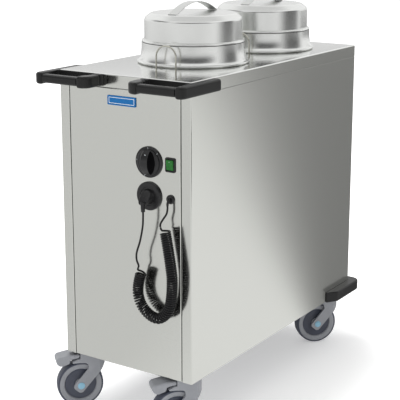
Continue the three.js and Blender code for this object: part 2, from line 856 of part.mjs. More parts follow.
// Elbow gland: a round base, a neck through the panel and a short spout that points down.
function gland() {
  const base = pin(glandPlace, socketHeight, glandRadius, frontY - glandStandoff - 5, frontY - fit, 20);
  const neck = pin(glandPlace, socketHeight, glandRadius - 4, frontY - 1, frontY + 12, 16);
  const end = [glandPlace, frontY - glandStandoff, socketHeight - glandSpout];
  return toSolid(base).add(toSolid(neck)).add(toSolid(spout(end, glandSpout, 6, cordExit)));
}

add('thermostat', thermostat(), black);
add('thermostat_knob', thermostatKnob(), black);
add('switch_housing', switchHousing(), black);
add('switch_rocker', switchRocker(), rockerGreen);
add('park_socket', parkSocket(), black);
add('plug', plug(), cordBlack);
add('cord_gland', gland(), black);

// ---- curly mains cord: [x, height] along the middle of the curls, in front of the panel

const coilRoute = [
  [139, 561], [146, 526], [157, 464], [161, 427], [154, 363], [139, 337],
  [118, 324], [92, 329], [68, 350], [58, 376], [59, 402], [70, 442],
];
const onPanel = ([x, standoff, z]) => new THREE.Vector3(x, frontY - standoff, z);
const coilAxis = new THREE.CatmullRomCurve3(coilRoute.map(([x, z]) => onPanel([x, coilStandoff, z])));
coilAxis.arcLengthDivisions = 2000;
const toPanel = new THREE.Vector3(0, 1, 0);

// Place on the curls, from the distance along the middle line and the angle round it.
function curlAt(length, angle) {
  const at = THREE.MathUtils.clamp(length / coilAxis.getLength(), 0, 1);
  const aside = new THREE.Vector3().crossVectors(toPanel, coilAxis.getTangentAt(at)).normalize();
  const radial = aside.multiplyScalar(Math.cos(angle)).addScaledVector(toPanel, Math.sin(angle));
  return { centre: coilAxis.getPointAt(at).addScaledVector(radial, curlRadius), radial };
}

// Bend of the middle line, in radians per millimetre.
function bendAt(length) {
  const reach = 4;
  const tangent = (distance) => coilAxis.getTangentAt(
    THREE.MathUtils.clamp(distance / coilAxis.getLength(), 0, 1),
  );
  return tangent(length - reach).angleTo(tangent(length + reach)) / (2 * reach);
}

// The curls keep one gap on the inside of every bend. At both ends the cord lies to the left of the middle
// line and runs straight for its own diameter before it winds in.
function curls() {
  const total = coilAxis.getLength();
  const windIn = (distance) => THREE.MathUtils.smoothstep(distance - cordDiameter, 0, curlRunIn);
  const stations = [{ length: 0, angle: 0 }];
  let length = cordDiameter;
  let angle = 0;
  while (length < total - cordDiameter) {
    stations.push({ length, angle });
    const winding = windIn(length) * windIn(total - length);
    const pitch = (cordDiameter + curlGap) / (1 - curlRadius * bendAt(length));
    const step = Math.min(pitch / curlSteps / Math.max(winding, 0.01), pitch / 2);
    length += step;
    angle += round * winding * step / pitch;
  }
  stations.push({ length: total - cordDiameter, angle }, { length: total, angle });
  const turns = Math.floor(angle / round - 0.5) + 0.5;
  console.log('curly cord:', turns, 'curls on', total.toFixed(0), 'mm');
  return stations.map((station) => curlAt(station.length, station.angle * turns * round / angle));
}

const coil = curls();
const coilLine = coil.map((place) => place.centre);
console.log('curly cord: least gap to itself', selfGap(coilLine, curlSteps, cordDiameter).toFixed(2), 'mm');

const coilStart = coilLine[0];
const coilEnd = coilLine[coilLine.length - 1];
const beforeCoil = (distance) => coilStart.clone().addScaledVector(coilAxis.getTangentAt(0), -distance);
const afterCoil = (distance) => coilEnd.clone().addScaledVector(coilAxis.getTangentAt(1), distance);

const glandLead = new THREE.CatmullRomCurve3([
  onPanel([glandPlace, glandStandoff, socketHeight - glandSpout - fit]),
  onPanel([glandPlace, glandStandoff, socketHeight - glandSpout - 8]),
  onPanel([138.5, 16, 592]),
  onPanel([132, 21, 579]),
  onPanel([127.5, 25, 569]),
  beforeCoil(cordDiameter),
  beforeCoil(fit),
]);

const plugLead = new THREE.CatmullRomCurve3([
  afterCoil(fit),
  afterCoil(cordDiameter),
  onPanel([56.5, 28.5, 464]),
  onPanel([58, 31, 482]),
  onPanel([70, 32, 517]),
  onPanel([78.5, 32, 556]),
  onPanel([socketPlace + plugOffset, plugStandoff, socketHeight - plugExit - 12]),
  onPanel([socketPlace + plugOffset, plugStandoff, socketHeight - plugExit - fit]),
]);

function lead(name, curve) {
  const steps = Math.ceil(curve.getLength() / (2 * cordDiameter));
  console.log(`${name}:`, curve.getLength().toFixed(1), 'mm');
  add(name, tubeAlong(curve, cordDiameter / 2, 8, steps), cordBlack);
}

lead('cord_gland_lead', glandLead);
lead('cord_plug_lead', plugLead);
add('cord_coil', woundTube(ringsAlong(coilLine, (i) => coil[i].radial), cordDiameter / 2, curlSides), cordBlack);
const coilLength = coilLine.slice(1).reduce((sum, point, i) => sum + point.distanceTo(coilLine[i]), 0);
console.log('curly cord: cable in the curls', coilLength.toFixed(0), 'mm');

// ---- heater

const heaterFront = frontY + heaterSetback;
add('heater', block(
  [-heaterSize[0] / 2, heaterSize[0] / 2],
  [heaterFront, heaterFront + heaterSize[1]],
  [trayTop + fit, trayTop + fit + heaterSize[2]],
), zinc);

// ---- castors: each is drawn about its swivel axis, with the wheel trailing along +X and the axle along Y

// Mounting plate with the kingpin that the fork turns on.
function casterPlate() {
  const halves = [mountPlateWidth / 2, mountPlateLength / 2];
  const plan = roundedBox([-halves[0], halves[0]], [-halves[1], halves[1]], mountPlateCorner, 2);
  const kingpin = post(0, 0, kingpinRadius, kingpinEnd, plateBottom + 1, 20);
  return toSolid(raised(plan, plateBottom, plateTop)).add(toSolid(kingpin));
}

// Point on the fork's leg, from the distance up the leg from the axle and the distance across it.
function legPoint(up, across) {
  const angle = THREE.MathUtils.degToRad(legAngle);
  return [
    casterTrail - up * Math.cos(angle) + across * Math.sin(angle),
    wheelRadius + up * Math.sin(angle) + across * Math.cos(angle),
  ];
}

// The front of the fork's crown: a ledge for the brake pedal, or a plain fender.
function crownFront(braked) {
  const end = casterTrail + crownReach;
  const ledge = pedalPivot[1] - pedalKnuckle - fit;
  const wall = pedalPivot[0] - pedalKnuckle - fit;
  if (braked) {
    return [[end, tyreTop + crownGap], [end - 1, ledge - 7.5], [pedalPivot[0], ledge], [wall, ledge], [wall, forkTop]];
  }
  return [[end + 5, tyreTop + crownGap + 2], [end - 3, tyreTop + 15], [casterTrail, forkTop]];
}

function fork(braked) {
  const edge = legHalfWidth - legRound;
  const section = outline([
    [-headRadius, forkTop],
    [-headRadius, tyreTop - headSkirt],
    legPoint(68, -legHalfWidth),
    legPoint(legRound - legEnd, -legHalfWidth),
    legPoint(-legEnd, -edge),
    legPoint(-legEnd, edge),
    legPoint(legRound - legEnd, legHalfWidth),
    legPoint(50, legHalfWidth),
    [casterTrail - 19, tyreTop - 1],
    [casterTrail - 10, tyreTop + 1],
    [casterTrail + 7, tyreTop + crownGap],
    ...crownFront(braked),
  ]);
  const slab = new THREE.ExtrudeGeometry(section, { depth: 2 * forkHalfWidth, bevelEnabled: false });
  slab.rotateX(Math.PI / 2).translate(0, forkHalfWidth, 0);
  const head = post(0, 0, headRadius, 0, forkTop + 1, 32);
  const ahead = block([0, 2 * tyreTop], [-2 * headRadius, 2 * headRadius], [0, forkTop + 1]);
  const well = pin(casterTrail, wheelRadius, wheelRadius + wellGap, -forkSlot, forkSlot, 32);
  const slot = block([-tyreTop, tyreTop], [-forkSlot, forkSlot], [0, wheelRadius + 41]);
  const kingpinBore = post(0, 0, kingpinRadius + fit, kingpinEnd - fit, forkTop + 1, 20);
  const axleBore = pin(casterTrail, wheelRadius, axleRadius + fit, -2 * forkSlot, 2 * forkSlot, 12);
  return toSolid(slab)
    .intersect(toSolid(head).add(toSolid(ahead)))
    .subtract(toSolid(well))
    .subtract(toSolid(slot))
    .subtract(toSolid(kingpinBore))
    .subtract(toSolid(axleBore));
}

// Axle with a round cap against each side of the fork.
function axle() {
  const seat = forkHalfWidth + fit;
  const end = seat + capThickness;
  return turnedLevel([
    [0, -end], [capRadius, -end], [capRadius, -seat], [axleRadius, -seat],
    [axleRadius, seat], [capRadius, seat], [capRadius, end], [0, end],
  ], 12).translate(casterTrail, 0, wheelRadius);
}

const wheelSides = 20;

// Wheel centre: a hub, a thin web and the raised ring inside the tread.
function wheel() {
  const half = wheelWidth / 2 - 1;
  const ring = rimRadius - ringWidth;
  const side = [
    [axleRadius + fit, forkSlot - fit],
    [hubRadius, forkSlot - fit],
    [hubRadius + 2, half - 5],
    [ring - 2, half - 5],
    [ring + 1, half],
    [rimRadius, half],
  ];
  const other = side.map(([r, y]) => [r, -y]).reverse();
  return turnedLevel([...side, ...other, side[0]], wheelSides).translate(casterTrail, 0, wheelRadius);
}

// Tread with crowned shoulders. Its flats, not its corners, reach the floor.
function tyre() {
  const sides = 24;
  const tread = wheelRadius / Math.cos(Math.PI / sides);
  const inner = (rimRadius + fit) / Math.cos(Math.PI / wheelSides);
  const half = wheelWidth / 2;
  const side = [[inner, half - 1], [rimRadius + 3, half], [tread - 1.5, half - 2.5], [tread, half - 7]];
  const other = side.map(([r, y]) => [r, -y]).reverse();
  return turnedLevel([...side, ...other, side[0]], sides).translate(casterTrail, 0, wheelRadius);
}

// Brake pedal, drawn about its pivot: a round knuckle on the fork's ledge and a paddle ahead of the wheel.
function brakePedal() {
  const section = outline([
    ...corner([0, 0], pedalKnuckle, 110, 290, 6),
    [20, -9], [21, -19], [41, -25.5], [50, -24], [57, -16], [58, -7], [53, -0.5], [25, 5],
  ]);
  const paddle = new THREE.ExtrudeGeometry(section, { depth: 2 * pedalHalfWidth, bevelEnabled: false });
  return paddle.rotateX(Math.PI / 2).translate(pedalPivot[0], pedalHalfWidth, pedalPivot[1]);
}

for (const [end, y] of [['front', frontY + casterInsetY], ['rear', rearY - casterInsetY]]) {
  for (const [sideName, side] of [['left', -1], ['right', 1]]) {
    const name = `${end}_${sideName}`;
    const braked = end === 'front';
    const swivel = new THREE.Group();
    swivel.position.set(side * (halfWidth - casterInsetX), y, 0);
    const turning = new THREE.Group();
    turning.rotation.z = THREE.MathUtils.degToRad(casterHeading);
    swivel.add(turning);
    cart.add(swivel);
    add(`${name}_caster_plate`, casterPlate(), zinc, swivel);
    add(`${name}_caster_fork`, fork(braked), casterGrey, turning);
    add(`${name}_axle`, axle(), capBlue, turning);
    add(`${name}_wheel`, wheel(), wheelGrey, turning);
    add(`${name}_tyre`, tyre(), tyreNavy, turning);
    if (braked) add(`${name}_brake_pedal`, brakePedal(), casterGrey, turning);
  }
}

// ---- the origin goes under the middle of the box round everything but the cord and its plug

cart.updateMatrixWorld(true);
const box = new THREE.Box3();
cart.traverse((piece) => {
  if (piece.isMesh && !piece.name.startsWith('cord_') && piece.name !== 'plug') box.expandByObject(piece, true);
});
const middle = box.getCenter(new THREE.Vector3());
cart.position.set(-middle.x, -middle.y, 0);
const size = box.getSize(new THREE.Vector3());
console.log('box:', size.toArray().map((side) => side.toFixed(1)).join(' x '), 'mm');
console.log('moved by:', (-middle.x).toFixed(3), (-middle.y).toFixed(3), 'floor', box.min.z.toFixed(3));

export default cart;
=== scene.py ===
"""Heated plate dispenser cart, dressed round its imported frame.

Shapes are worked out in millimetres and go into their meshes in metres. The control end of the cart faces
-Y, its right side is +X and the floor is at 0. Each piece is a closed surface: an outline raised, a profile
turned, or a section carried along a path. A size that the frame holds is read from it.
"""

import json
import math

import bmesh
import bpy
import numpy as np
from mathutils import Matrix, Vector


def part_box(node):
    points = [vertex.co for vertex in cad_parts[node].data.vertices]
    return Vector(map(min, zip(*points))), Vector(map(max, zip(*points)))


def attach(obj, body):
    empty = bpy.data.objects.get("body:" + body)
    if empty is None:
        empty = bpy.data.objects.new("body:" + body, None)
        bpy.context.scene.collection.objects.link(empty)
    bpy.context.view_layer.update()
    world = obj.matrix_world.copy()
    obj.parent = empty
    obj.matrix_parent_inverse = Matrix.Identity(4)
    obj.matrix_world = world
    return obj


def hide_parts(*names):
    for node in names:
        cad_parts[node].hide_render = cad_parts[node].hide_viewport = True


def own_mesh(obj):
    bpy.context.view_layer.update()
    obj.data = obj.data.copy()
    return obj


bl_info = {
    "name": "Plate dispenser cart",
    "version": (1, 0, 0),
    "blender": (4, 5, 0),
    "location": "View3D > Sidebar > Dispenser",
    "description": "Builds the panels, lids, handles, controls, cord and castors of a plate dispenser cart",
    "category": "Add Mesh",
}

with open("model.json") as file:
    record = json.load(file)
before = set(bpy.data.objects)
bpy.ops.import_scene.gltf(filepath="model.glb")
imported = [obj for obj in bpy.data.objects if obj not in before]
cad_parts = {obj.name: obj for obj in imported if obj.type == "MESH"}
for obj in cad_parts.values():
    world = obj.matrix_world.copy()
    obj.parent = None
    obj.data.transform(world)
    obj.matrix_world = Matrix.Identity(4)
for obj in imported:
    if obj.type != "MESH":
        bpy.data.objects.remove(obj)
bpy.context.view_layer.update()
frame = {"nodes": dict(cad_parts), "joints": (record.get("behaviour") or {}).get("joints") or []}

MM = 0.001
CREASE = 0.3          # width of the flat strip kept beside an arc, so that smooth shading stays on the arc
CLEARANCE = 0.3       # free space between a piece and the sheet or the piece beside it
CABINET = "cabinet"
ENDS = ("front", "rear")
SIDES = (("left", -1), ("right", 1))
PIVOTS = {joint["name"]: np.array(joint.get("pos_m", (0, 0, 0))) / MM for joint in frame["joints"]}


def box(node):
    """Lowest and highest corner of a CAD node, in millimetres."""
    low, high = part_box(node)
    return np.array(low) / MM, np.array(high) / MM


def span(node, axis):
    """Lowest and highest place of a CAD node on one axis, in millimetres."""
    low, high = box(node)
    return low[axis], high[axis]


def middle(node):
    """Middle of a CAD node's box, in millimetres."""
    low, high = box(node)
    return (low + high) / 2


def colour(code):
    """Linear red, green, blue and alpha from an sRGB hex code.

    A share s becomes s / 12.92 up to 0.04045, and ((s + 0.055) / 1.055) to the power 2.4 above it.
    """
    shares = np.array([int(code[i:i + 2], 16) for i in (0, 2, 4)]) / 255
    straight = np.where(shares <= 0.04045, shares / 12.92, ((shares + 0.055) / 1.055) ** 2.4)
    return (*straight.tolist(), 1.0)


# ---------------------------------------------------------------- lines

def unit(vectors):
    """Vectors of length 1 in the same directions."""
    return vectors / np.linalg.norm(vectors, axis=-1, keepdims=True)


def arc(centre, radius, start, end, steps):
    """Points [x, y] on a circle from one direction to another, in degrees."""
    angles = np.radians(np.linspace(start, end, steps + 1))
    return np.array(centre) + radius * np.stack([np.cos(angles), np.sin(angles)], -1)


def rounded(corners, closed=True, steps=5):
    """Line through corners [x, y, radius, edge], as rows [x, y, edge], each corner turned into an arc.

    The arc touches both sides at the distance radius * tan(turn / 2) from the corner, and its centre lies at
    radius / cos(turn / 2) from the corner on the line that halves it. A point is added on each side, one
    crease further out. Edge is the rounding that the outline's rim gets where it is raised.
    """
    rows = np.array([(*corner, 0, 0)[:4] for corner in corners], float)
    line = []
    for i, (x, y, radius, edge) in enumerate(rows):
        corner = np.array([x, y])
        is_end = not closed and i in (0, len(rows) - 1)
        towards = unit(rows[i - 1, :2] - corner)
        onwards = unit(rows[(i + 1) % len(rows), :2] - corner)
        turn = np.pi - np.arccos(np.clip(towards @ onwards, -1, 1))
        if is_end or radius * turn < 1e-3:
            line.append(np.array([[x, y, edge]]))
            continue
        reach = radius * np.tan(turn / 2)
        centre = corner + unit(towards + onwards) * radius / np.cos(turn / 2)
        first = corner + towards * reach
        spoke = first - centre
        last = corner + onwards * reach - centre
        side = np.sign(spoke[0] * last[1] - spoke[1] * last[0])
        angles = side * np.linspace(0, turn, steps + 1)[:, None]
        aside = np.array([-spoke[1], spoke[0]])
        bend = centre + spoke * np.cos(angles) + aside * np.sin(angles)
        points = np.vstack([first + towards * CREASE, bend, corner + onwards * (reach + CREASE)])
        line.append(np.column_stack([points, np.full(len(points), edge)]))
    return np.vstack(line)


def anticlockwise(line):
    """The same closed outline, running anticlockwise: the area it goes round is positive."""
    x, y = line[:, 0], line[:, 1]
    area = np.sum(x * np.roll(y, -1) - y * np.roll(x, -1))
    return line if area > 0 else line[::-1]


def outward_of(line):
    """Direction out of an anticlockwise outline at each point, so long that its two sides move out by 1."""
    along = unit(np.roll(line, -1, 0) - line)
    square = np.stack([along[:, 1], -along[:, 0]], -1)
    both = unit(square + np.roll(square, 1, 0))
    return both / np.sum(both * square, -1, keepdims=True)


def catmull(points, count):
    """Points at equal distances along a smooth curve through the given points, and the unit tangents there.

    Between two points the curve is a cubic whose end slopes come from the neighbours, each weighted by the
    square root of the distance to the next point. The two outer neighbours are the end points mirrored. The
    curve's whole length is the third value.
    """
    points = np.array(points, float)
    ends = np.vstack([2 * points[0] - points[1], points, 2 * points[-1] - points[-2]])
    p0, p1, p2, p3 = ends[:-3], ends[1:-2], ends[2:-1], ends[3:]
    steps = ((p0, p1), (p1, p2), (p2, p3))
    d0, d1, d2 = (np.sqrt(np.linalg.norm(b - a, axis=1))[:, None] for a, b in steps)
    slope1 = ((p1 - p0) / d0 - (p2 - p0) / (d0 + d1) + (p2 - p1) / d1) * d1
    slope2 = ((p2 - p1) / d1 - (p3 - p1) / (d1 + d2) + (p3 - p2) / d2) * d1
    t = np.linspace(0, 1, 400, endpoint=False)[:, None, None]
    cubic = ((2 * t ** 3 - 3 * t ** 2 + 1) * p1 + (t ** 3 - 2 * t ** 2 + t) * slope1
             + (3 * t ** 2 - 2 * t ** 3) * p2 + (t ** 3 - t ** 2) * slope2)
    dense = np.vstack([cubic.transpose(1, 0, 2).reshape(-1, 3), points[-1:]])
    lengths = np.append(0, np.cumsum(np.linalg.norm(np.diff(dense, axis=0), axis=1)))
    wanted = np.linspace(0, lengths[-1], count)
    curve = np.stack([np.interp(wanted, lengths, dense[:, i]) for i in range(3)], -1)
    return curve, unit(np.gradient(curve, axis=0)), lengths[-1]


# ---------------------------------------------------------------- surfaces

def grid_faces(rows, columns, loop=False):
    """Four-sided faces of a grid of points whose columns close on themselves, and its rows too with loop."""
    i = np.arange(rows if loop else rows - 1)[:, None]
    j = np.arange(columns)[None, :]
    across = (j + 1) % columns
    below = ((i + 1) % rows) * columns
    above = i * columns
    corners = np.stack([above + j, above + across, below + across, below + j], -1)
    return corners.reshape(-1, 4).tolist()


def skin(rows, loop=False):
    """Closed shell (points, faces) over a grid of points, whose columns run once round.

    With loop, the last row joins the first. Otherwise each end closes in one point where its row has shrunk
    to nothing, and in one flat face where it hasn't.
    """
    columns = rows.shape[1]
    poles = [not loop and np.ptp(rows[i], axis=0).max() < 1e-6 for i in (0, -1)]
    body = rows[int(poles[0]):len(rows) - int(poles[1])]
    points = body.reshape(-1, 3)
    faces = grid_faces(len(body), columns, loop=loop)
    last = len(points) - columns
    j = np.arange(columns)
    for is_pole, start, pole in ((poles[0], 0, rows[0, 0]), (poles[1], last, rows[-1, 0])):
        ring = start + (j if start else j[::-1])
        if is_pole:
            faces += np.stack([ring, np.roll(ring, -1), np.full(columns, len(points))], -1).tolist()
            points = np.vstack([points, pole])
        elif not loop:
            faces.append(ring.tolist())
    return points, faces


def raised(line, low, high, steps=4):
    """Shell of a plan outline raised from low to high, its edges rounded as the outline says.

    At the angle a, from 0 to 90 degrees, a point has moved in by edge * (1 - cos a) and lies
    edge * (1 - sin a) short of the end.
    """
    line = anticlockwise(line)
    edge = line[:, 2]
    out = outward_of(line[:, :2])
    angles = np.linspace(0, np.pi / 2, steps + 1)[:, None]
    inset = np.vstack([0 * edge, edge * (1 - np.cos(angles)), edge + CREASE])
    short = np.vstack([edge + CREASE, edge * (1 - np.sin(angles)), 0 * edge])
    if edge.max() < 1e-6:
        inset, short = (np.zeros((1, len(edge))) for _ in range(2))
    inset = np.vstack([inset[::-1], inset])
    height = np.vstack([(low + short)[::-1], high - short])
    plan = line[:, :2] - out * inset[..., None]
    return skin(np.dstack([plan, height]))


def turned(profile, sides=96, loop=False):
    """Shell of a profile [radius, height] turned about the upright axis."""
    angles = np.linspace(0, 2 * np.pi, sides, endpoint=False)
    radius = profile[:, :1]
    height = np.repeat(profile[:, 1:2], sides, 1)
    return skin(np.dstack([radius * np.cos(angles), radius * np.sin(angles), height]), loop)


def swept(path, section, hint):
    """Shell of a section [across, up] carried along a path.

    Across is square to the path and to the hint, and up is square to both. The section is the same all the
    way, or one for each point of the path.
    """
    along = unit(np.gradient(path, axis=0))
    across = unit(np.cross(along, hint))
    up = np.cross(across, along)
    section = np.broadcast_to(section, (len(path), *section.shape[-2:]))
    rows = path[:, None] + section[..., :1] * across[:, None] + section[..., 1:] * up[:, None]
    return skin(rows)


def circle(radius, sides):
    """Round section for a swept tube."""
    return arc((0, 0), radius, 0, 360 * (1 - 1 / sides), sides - 1)


def placed(shell, right, up, out, place):
    """Shell whose first, second and third direction become right, up and out, moved to a place."""
    points, faces = shell
    return points @ np.array([right, up, out], float) + np.array(place, float), faces


def on_front(shell, x, z, y):
    """Shell stood up against the front of the cabinet: its plan faces -Y and its height points out."""
    return placed(shell, (1, 0, 0), (0, 0, 1), (0, -1, 0), (x, y, z))


def upright(shell, x, y):
    """Shell moved to a place on the plan."""
    return placed(shell, (1, 0, 0), (0, 1, 0), (0, 0, 1), (x, y, 0))


def facing_out(points, faces):
    """The faces of a closed shell, turned round if its volume comes out negative."""
    volume = 0.0
    for size in {len(face) for face in faces}:
        corners = points[np.array([face for face in faces if len(face) == size])]
        for k in range(1, size - 1):
            volume += np.sum(corners[:, 0] * np.cross(corners[:, k], corners[:, k + 1]))
    return faces if volume > 0 else [face[::-1] for face in faces]


# ---------------------------------------------------------------- pieces

def build(name, shells, material, sharp=40, weld=False):
    """Object at the origin made of shells in millimetres, smooth but for edges sharper than an angle.

    The shells are closed. With weld, they are patches that make one closed surface together.
    """
    points, faces = np.empty((0, 3)), []
    for shell_points, shell_faces in shells:
        if not weld:
            shell_faces = facing_out(shell_points, shell_faces)
        faces += [[corner + len(points) for corner in face] for face in shell_faces]
        points = np.vstack([points, shell_points])
    mesh = bpy.data.meshes.new(name)
    mesh.from_pydata((points * MM).tolist(), [], faces)
    if weld:
        welded(mesh)
    mesh.shade_smooth()
    mesh.set_sharp_from_angle(angle=math.radians(sharp))
    mesh.materials.append(material)
    piece = bpy.data.objects.new(name, mesh)
    bpy.context.scene.collection.objects.link(piece)
    return piece


def welded(mesh):
    """Merges the points that patches of one surface share, and turns all its faces out."""
    work = bmesh.new()
    work.from_mesh(mesh)
    bmesh.ops.remove_doubles(work, verts=work.verts, dist=1e-6)
    bmesh.ops.recalc_face_normals(work, faces=work.faces)
    work.to_mesh(mesh)
    work.free()


def dress(piece, body, slot, *nodes):
    """Piece that rides on a body and stands for CAD nodes, which it hides. The slot is not used."""
    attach(piece, body)
    if nodes:
        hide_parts(*nodes)
    return piece


def repaint(node, material):
    """Gives a CAD node another material."""
    mesh = frame["nodes"][node].data
    mesh.materials.clear()
    mesh.materials.append(material)


def by_polygon(piece, name):
    """Rows [x, y, z] of a value that each polygon has, such as its centre or its normal."""
    polygons = piece.data.polygons
    values = np.empty(len(polygons) * 3)
    polygons.foreach_get(name, values)
    return values.reshape(-1, 3)


def second_finish(piece, material, chosen):
    """Gives the chosen polygons a second material."""
    piece.data.materials.append(material)
    piece.data.polygons.foreach_set("material_index", chosen.astype(int))


def shell_of(mesh):
    """Points in millimetres and faces of a mesh, which is removed."""
    points = np.empty(len(mesh.vertices) * 3)
    mesh.vertices.foreach_get("co", points)
    faces = [tuple(polygon.vertices) for polygon in mesh.polygons]
    bpy.data.meshes.remove(mesh)
    return points.reshape(-1, 3) / MM, faces


def applied(piece):
    """New mesh of a piece with its modifiers applied."""
    bpy.context.view_layer.update()
    return bpy.data.meshes.new_from_object(piece.evaluated_get(bpy.context.evaluated_depsgraph_get()))


# ---------------------------------------------------------------- materials

def add_node(tree, kind, inputs=None, **settings):
    """Adds a node with its settings. An input is a plain value, or another node's output to link it to."""
    node = tree.nodes.new(kind)
    for name, value in settings.items():
        setattr(node, name, value)
    for name, value in (inputs or {}).items():
        if isinstance(value, bpy.types.NodeSocket):
            tree.links.new(value, node.inputs[name])
        else:
            node.inputs[name].default_value = value
    return node


def empty_material(name):
    """New material without any node, and its node tree."""
    material = bpy.data.materials.new(name)
    material.use_nodes = True
    tree = material.node_tree
    tree.nodes.clear()
    return material, tree


def finish(name, inputs):
    """New material: its node tree, its principled shader and the object's own coordinates in metres."""
    material, tree = empty_material(name)
    shader = add_node(tree, "ShaderNodeBsdfPrincipled", inputs)
    output = add_node(tree, "ShaderNodeOutputMaterial")
    tree.links.new(shader.outputs["BSDF"], output.inputs["Surface"])
    place = add_node(tree, "ShaderNodeTexCoord").outputs["Object"]
    return material, tree, shader, place


def speckle(tree, place, size, stretch=(1, 1, 1)):
    """Noise from 0 to 1 whose grains measure so many millimetres, stretched by factors along the axes."""
    scale = [1 / (size * MM * factor) for factor in stretch]
    scaled = add_node(tree, "ShaderNodeMapping", {"Vector": place, "Scale": scale})
    noise = add_node(tree, "ShaderNodeTexNoise", {
        "Vector": scaled.outputs["Vector"], "Scale": 1.0, "Detail": 2.0,
    })
    return noise.outputs["Fac"]


def spread(tree, source, low, high):
    """The source's middle range, 0.3 to 0.7, brought to low and high."""
    node = add_node(tree, "ShaderNodeMapRange", {
        "Value": source, "From Min": 0.3, "From Max": 0.7, "To Min": low, "To Max": high,
    })
    return node.outputs["Result"]


def shade(tree, source, dark, light):
    """Colour between two linear colours, by the source's middle range."""
    mix = add_node(tree, "ShaderNodeMix", {"Factor": spread(tree, source, 0, 1)}, data_type="RGBA")
    mix.inputs[6].default_value = dark
    mix.inputs[7].default_value = light
    return mix.outputs[2]


def darker(tone, share):
    """The same linear colour, darker by a share."""
    return (*(channel * (1 - share) for channel in tone[:3]), 1.0)


def steel(name, tone, roughness, grain, contrast, bump):
    """Steel sheet or wire, ground, drawn or plated: a mirror image broken up by a fine grain.

    The grain is drawn at 1 to 4 mm so that it shows at all. The real grinding marks are far finer.
    """
    material, tree, shader, place = finish(name, {"Metallic": 1.0})
    fine = speckle(tree, place, grain, (2.5, 2.5, 1))
    tree.links.new(shade(tree, fine, darker(tone, contrast), tone), shader.inputs["Base Color"])
    tree.links.new(spread(tree, fine, roughness * 0.9, roughness * 1.1), shader.inputs["Roughness"])
    relief = add_node(tree, "ShaderNodeBump", {"Height": fine, "Strength": bump, "Distance": 0.02 * MM})
    tree.links.new(relief.outputs["Normal"], shader.inputs["Normal"])
    return material


def spun_steel(name, tone, roughness):
    """Stainless steel, spun and polished: a soft mirror with faint turning marks round the upright axis."""
    material, tree, shader, place = finish(name, {"Metallic": 1.0})
    rings = speckle(tree, place, 1.6, (60, 60, 1))
    tree.links.new(shade(tree, rings, darker(tone, 0.015), tone), shader.inputs["Base Color"])
    tree.links.new(spread(tree, rings, roughness * 0.98, roughness * 1.02), shader.inputs["Roughness"])
    return material


def moulded(name, tone, roughness, grain, depth, contrast, specular=0.5):
    """Injection-moulded plastic: a fine grain that spreads the highlights, slightly uneven in tone."""
    material, tree, shader, place = finish(name, {"IOR": 1.5, "Specular IOR Level": specular})
    fine = speckle(tree, place, grain)
    broad = speckle(tree, place, 30 * grain)
    tree.links.new(shade(tree, broad, darker(tone, contrast), tone), shader.inputs["Base Color"])
    tree.links.new(spread(tree, fine, roughness * 0.88, roughness * 1.12), shader.inputs["Roughness"])
    relief = add_node(tree, "ShaderNodeBump", {"Height": fine, "Strength": 0.5, "Distance": depth * MM})
    tree.links.new(relief.outputs["Normal"], shader.inputs["Normal"])
    return material


def lit_rocker(name, tone, glow):
    """Translucent polycarbonate with a lamp behind it: a soft, slightly cloudy glow under a smooth gloss."""
    material, tree, shader, place = finish(name, {
        "IOR": 1.58, "Roughness": 0.18, "Specular IOR Level": 0.15, "Emission Strength": glow,
    })
    cloud = speckle(tree, place, 9)
    lit = shade(tree, cloud, darker(tone, 0.25), tone)
    tree.links.new(lit, shader.inputs["Base Color"])
    tree.links.new(lit, shader.inputs["Emission Color"])
    return material


# ---------------------------------------------------------------- settings and finishes

def tone_setting(label, use, code):
    """Colour of a finish, whose default is an sRGB hex code."""
    return bpy.props.FloatVectorProperty(
        name=label, description=f"Colour of {use}",
        default=colour(code), size=4, min=0, max=1, subtype="COLOR")


def gloss_setting(label, use, roughness):
    """Roughness of a polished finish, from 0 to 1."""
    return bpy.props.FloatProperty(
        name=label, description=f"How far {use} spread a mirror image",
        default=roughness, min=0, max=1, subtype="FACTOR")


def size_setting(label, meaning, default, low, high):
    """Length in millimetres between a low and a high limit."""
    return bpy.props.FloatProperty(
        name=label, description=f"{meaning}, in millimetres", default=default, min=low, max=high)


class FinishSettings(bpy.types.PropertyGroup):
    """Colours and gloss of the finishes."""
    cabinet_tone: tone_setting("Cabinet steel", "the ground steel panels", "D8D9D4")
    cabinet_roughness: gloss_setting("Cabinet roughness", "the panels", 0.16)
    polished_tone: tone_setting("Polished steel", "the worktop and the lids", "E6E7E5")
    polished_roughness: gloss_setting("Worktop roughness", "the worktop's flat and bends", 0.13)
    lid_roughness: gloss_setting("Lid roughness", "the lids", 0.25)
    wire_tone: tone_setting("Bright wire", "the guides and springs", "CFCEC4")
    zinc_tone: tone_setting("Zinc plate", "the tray, the castors' plates and the heater", "A6A8AB")
    moulding_tone: tone_setting("Black moulding", "the handles, grips and bumpers", "1A1A1A")
    control_tone: tone_setting("Black plastic", "the controls, the plug and the gland", "1D1D1E")
    # Darker, this tone is also the painted shade on the knob's right flank.
    cord_tone: tone_setting("Cord jacket", "the cord and, darker, of the knob's right flank", "0F0F11")
    castor_tone: tone_setting("Castor grey", "the forks, the pedals and the wheels' rings", "8F9196")
    tread_tone: tone_setting("Tread", "the treads and the wheels' covers", "434755")
    cap_tone: tone_setting("Axle cap", "the caps on the axles", "86B4CB")
    rocker_tone: tone_setting("Rocker", "the lit switch", "225F27")
    badge_tone: tone_setting("Badge", "the bare badge plate", "12629F")
    pale_tone: tone_setting("Pale print", "the badge's line, the dial's marks and the dots", "DDE3E6")


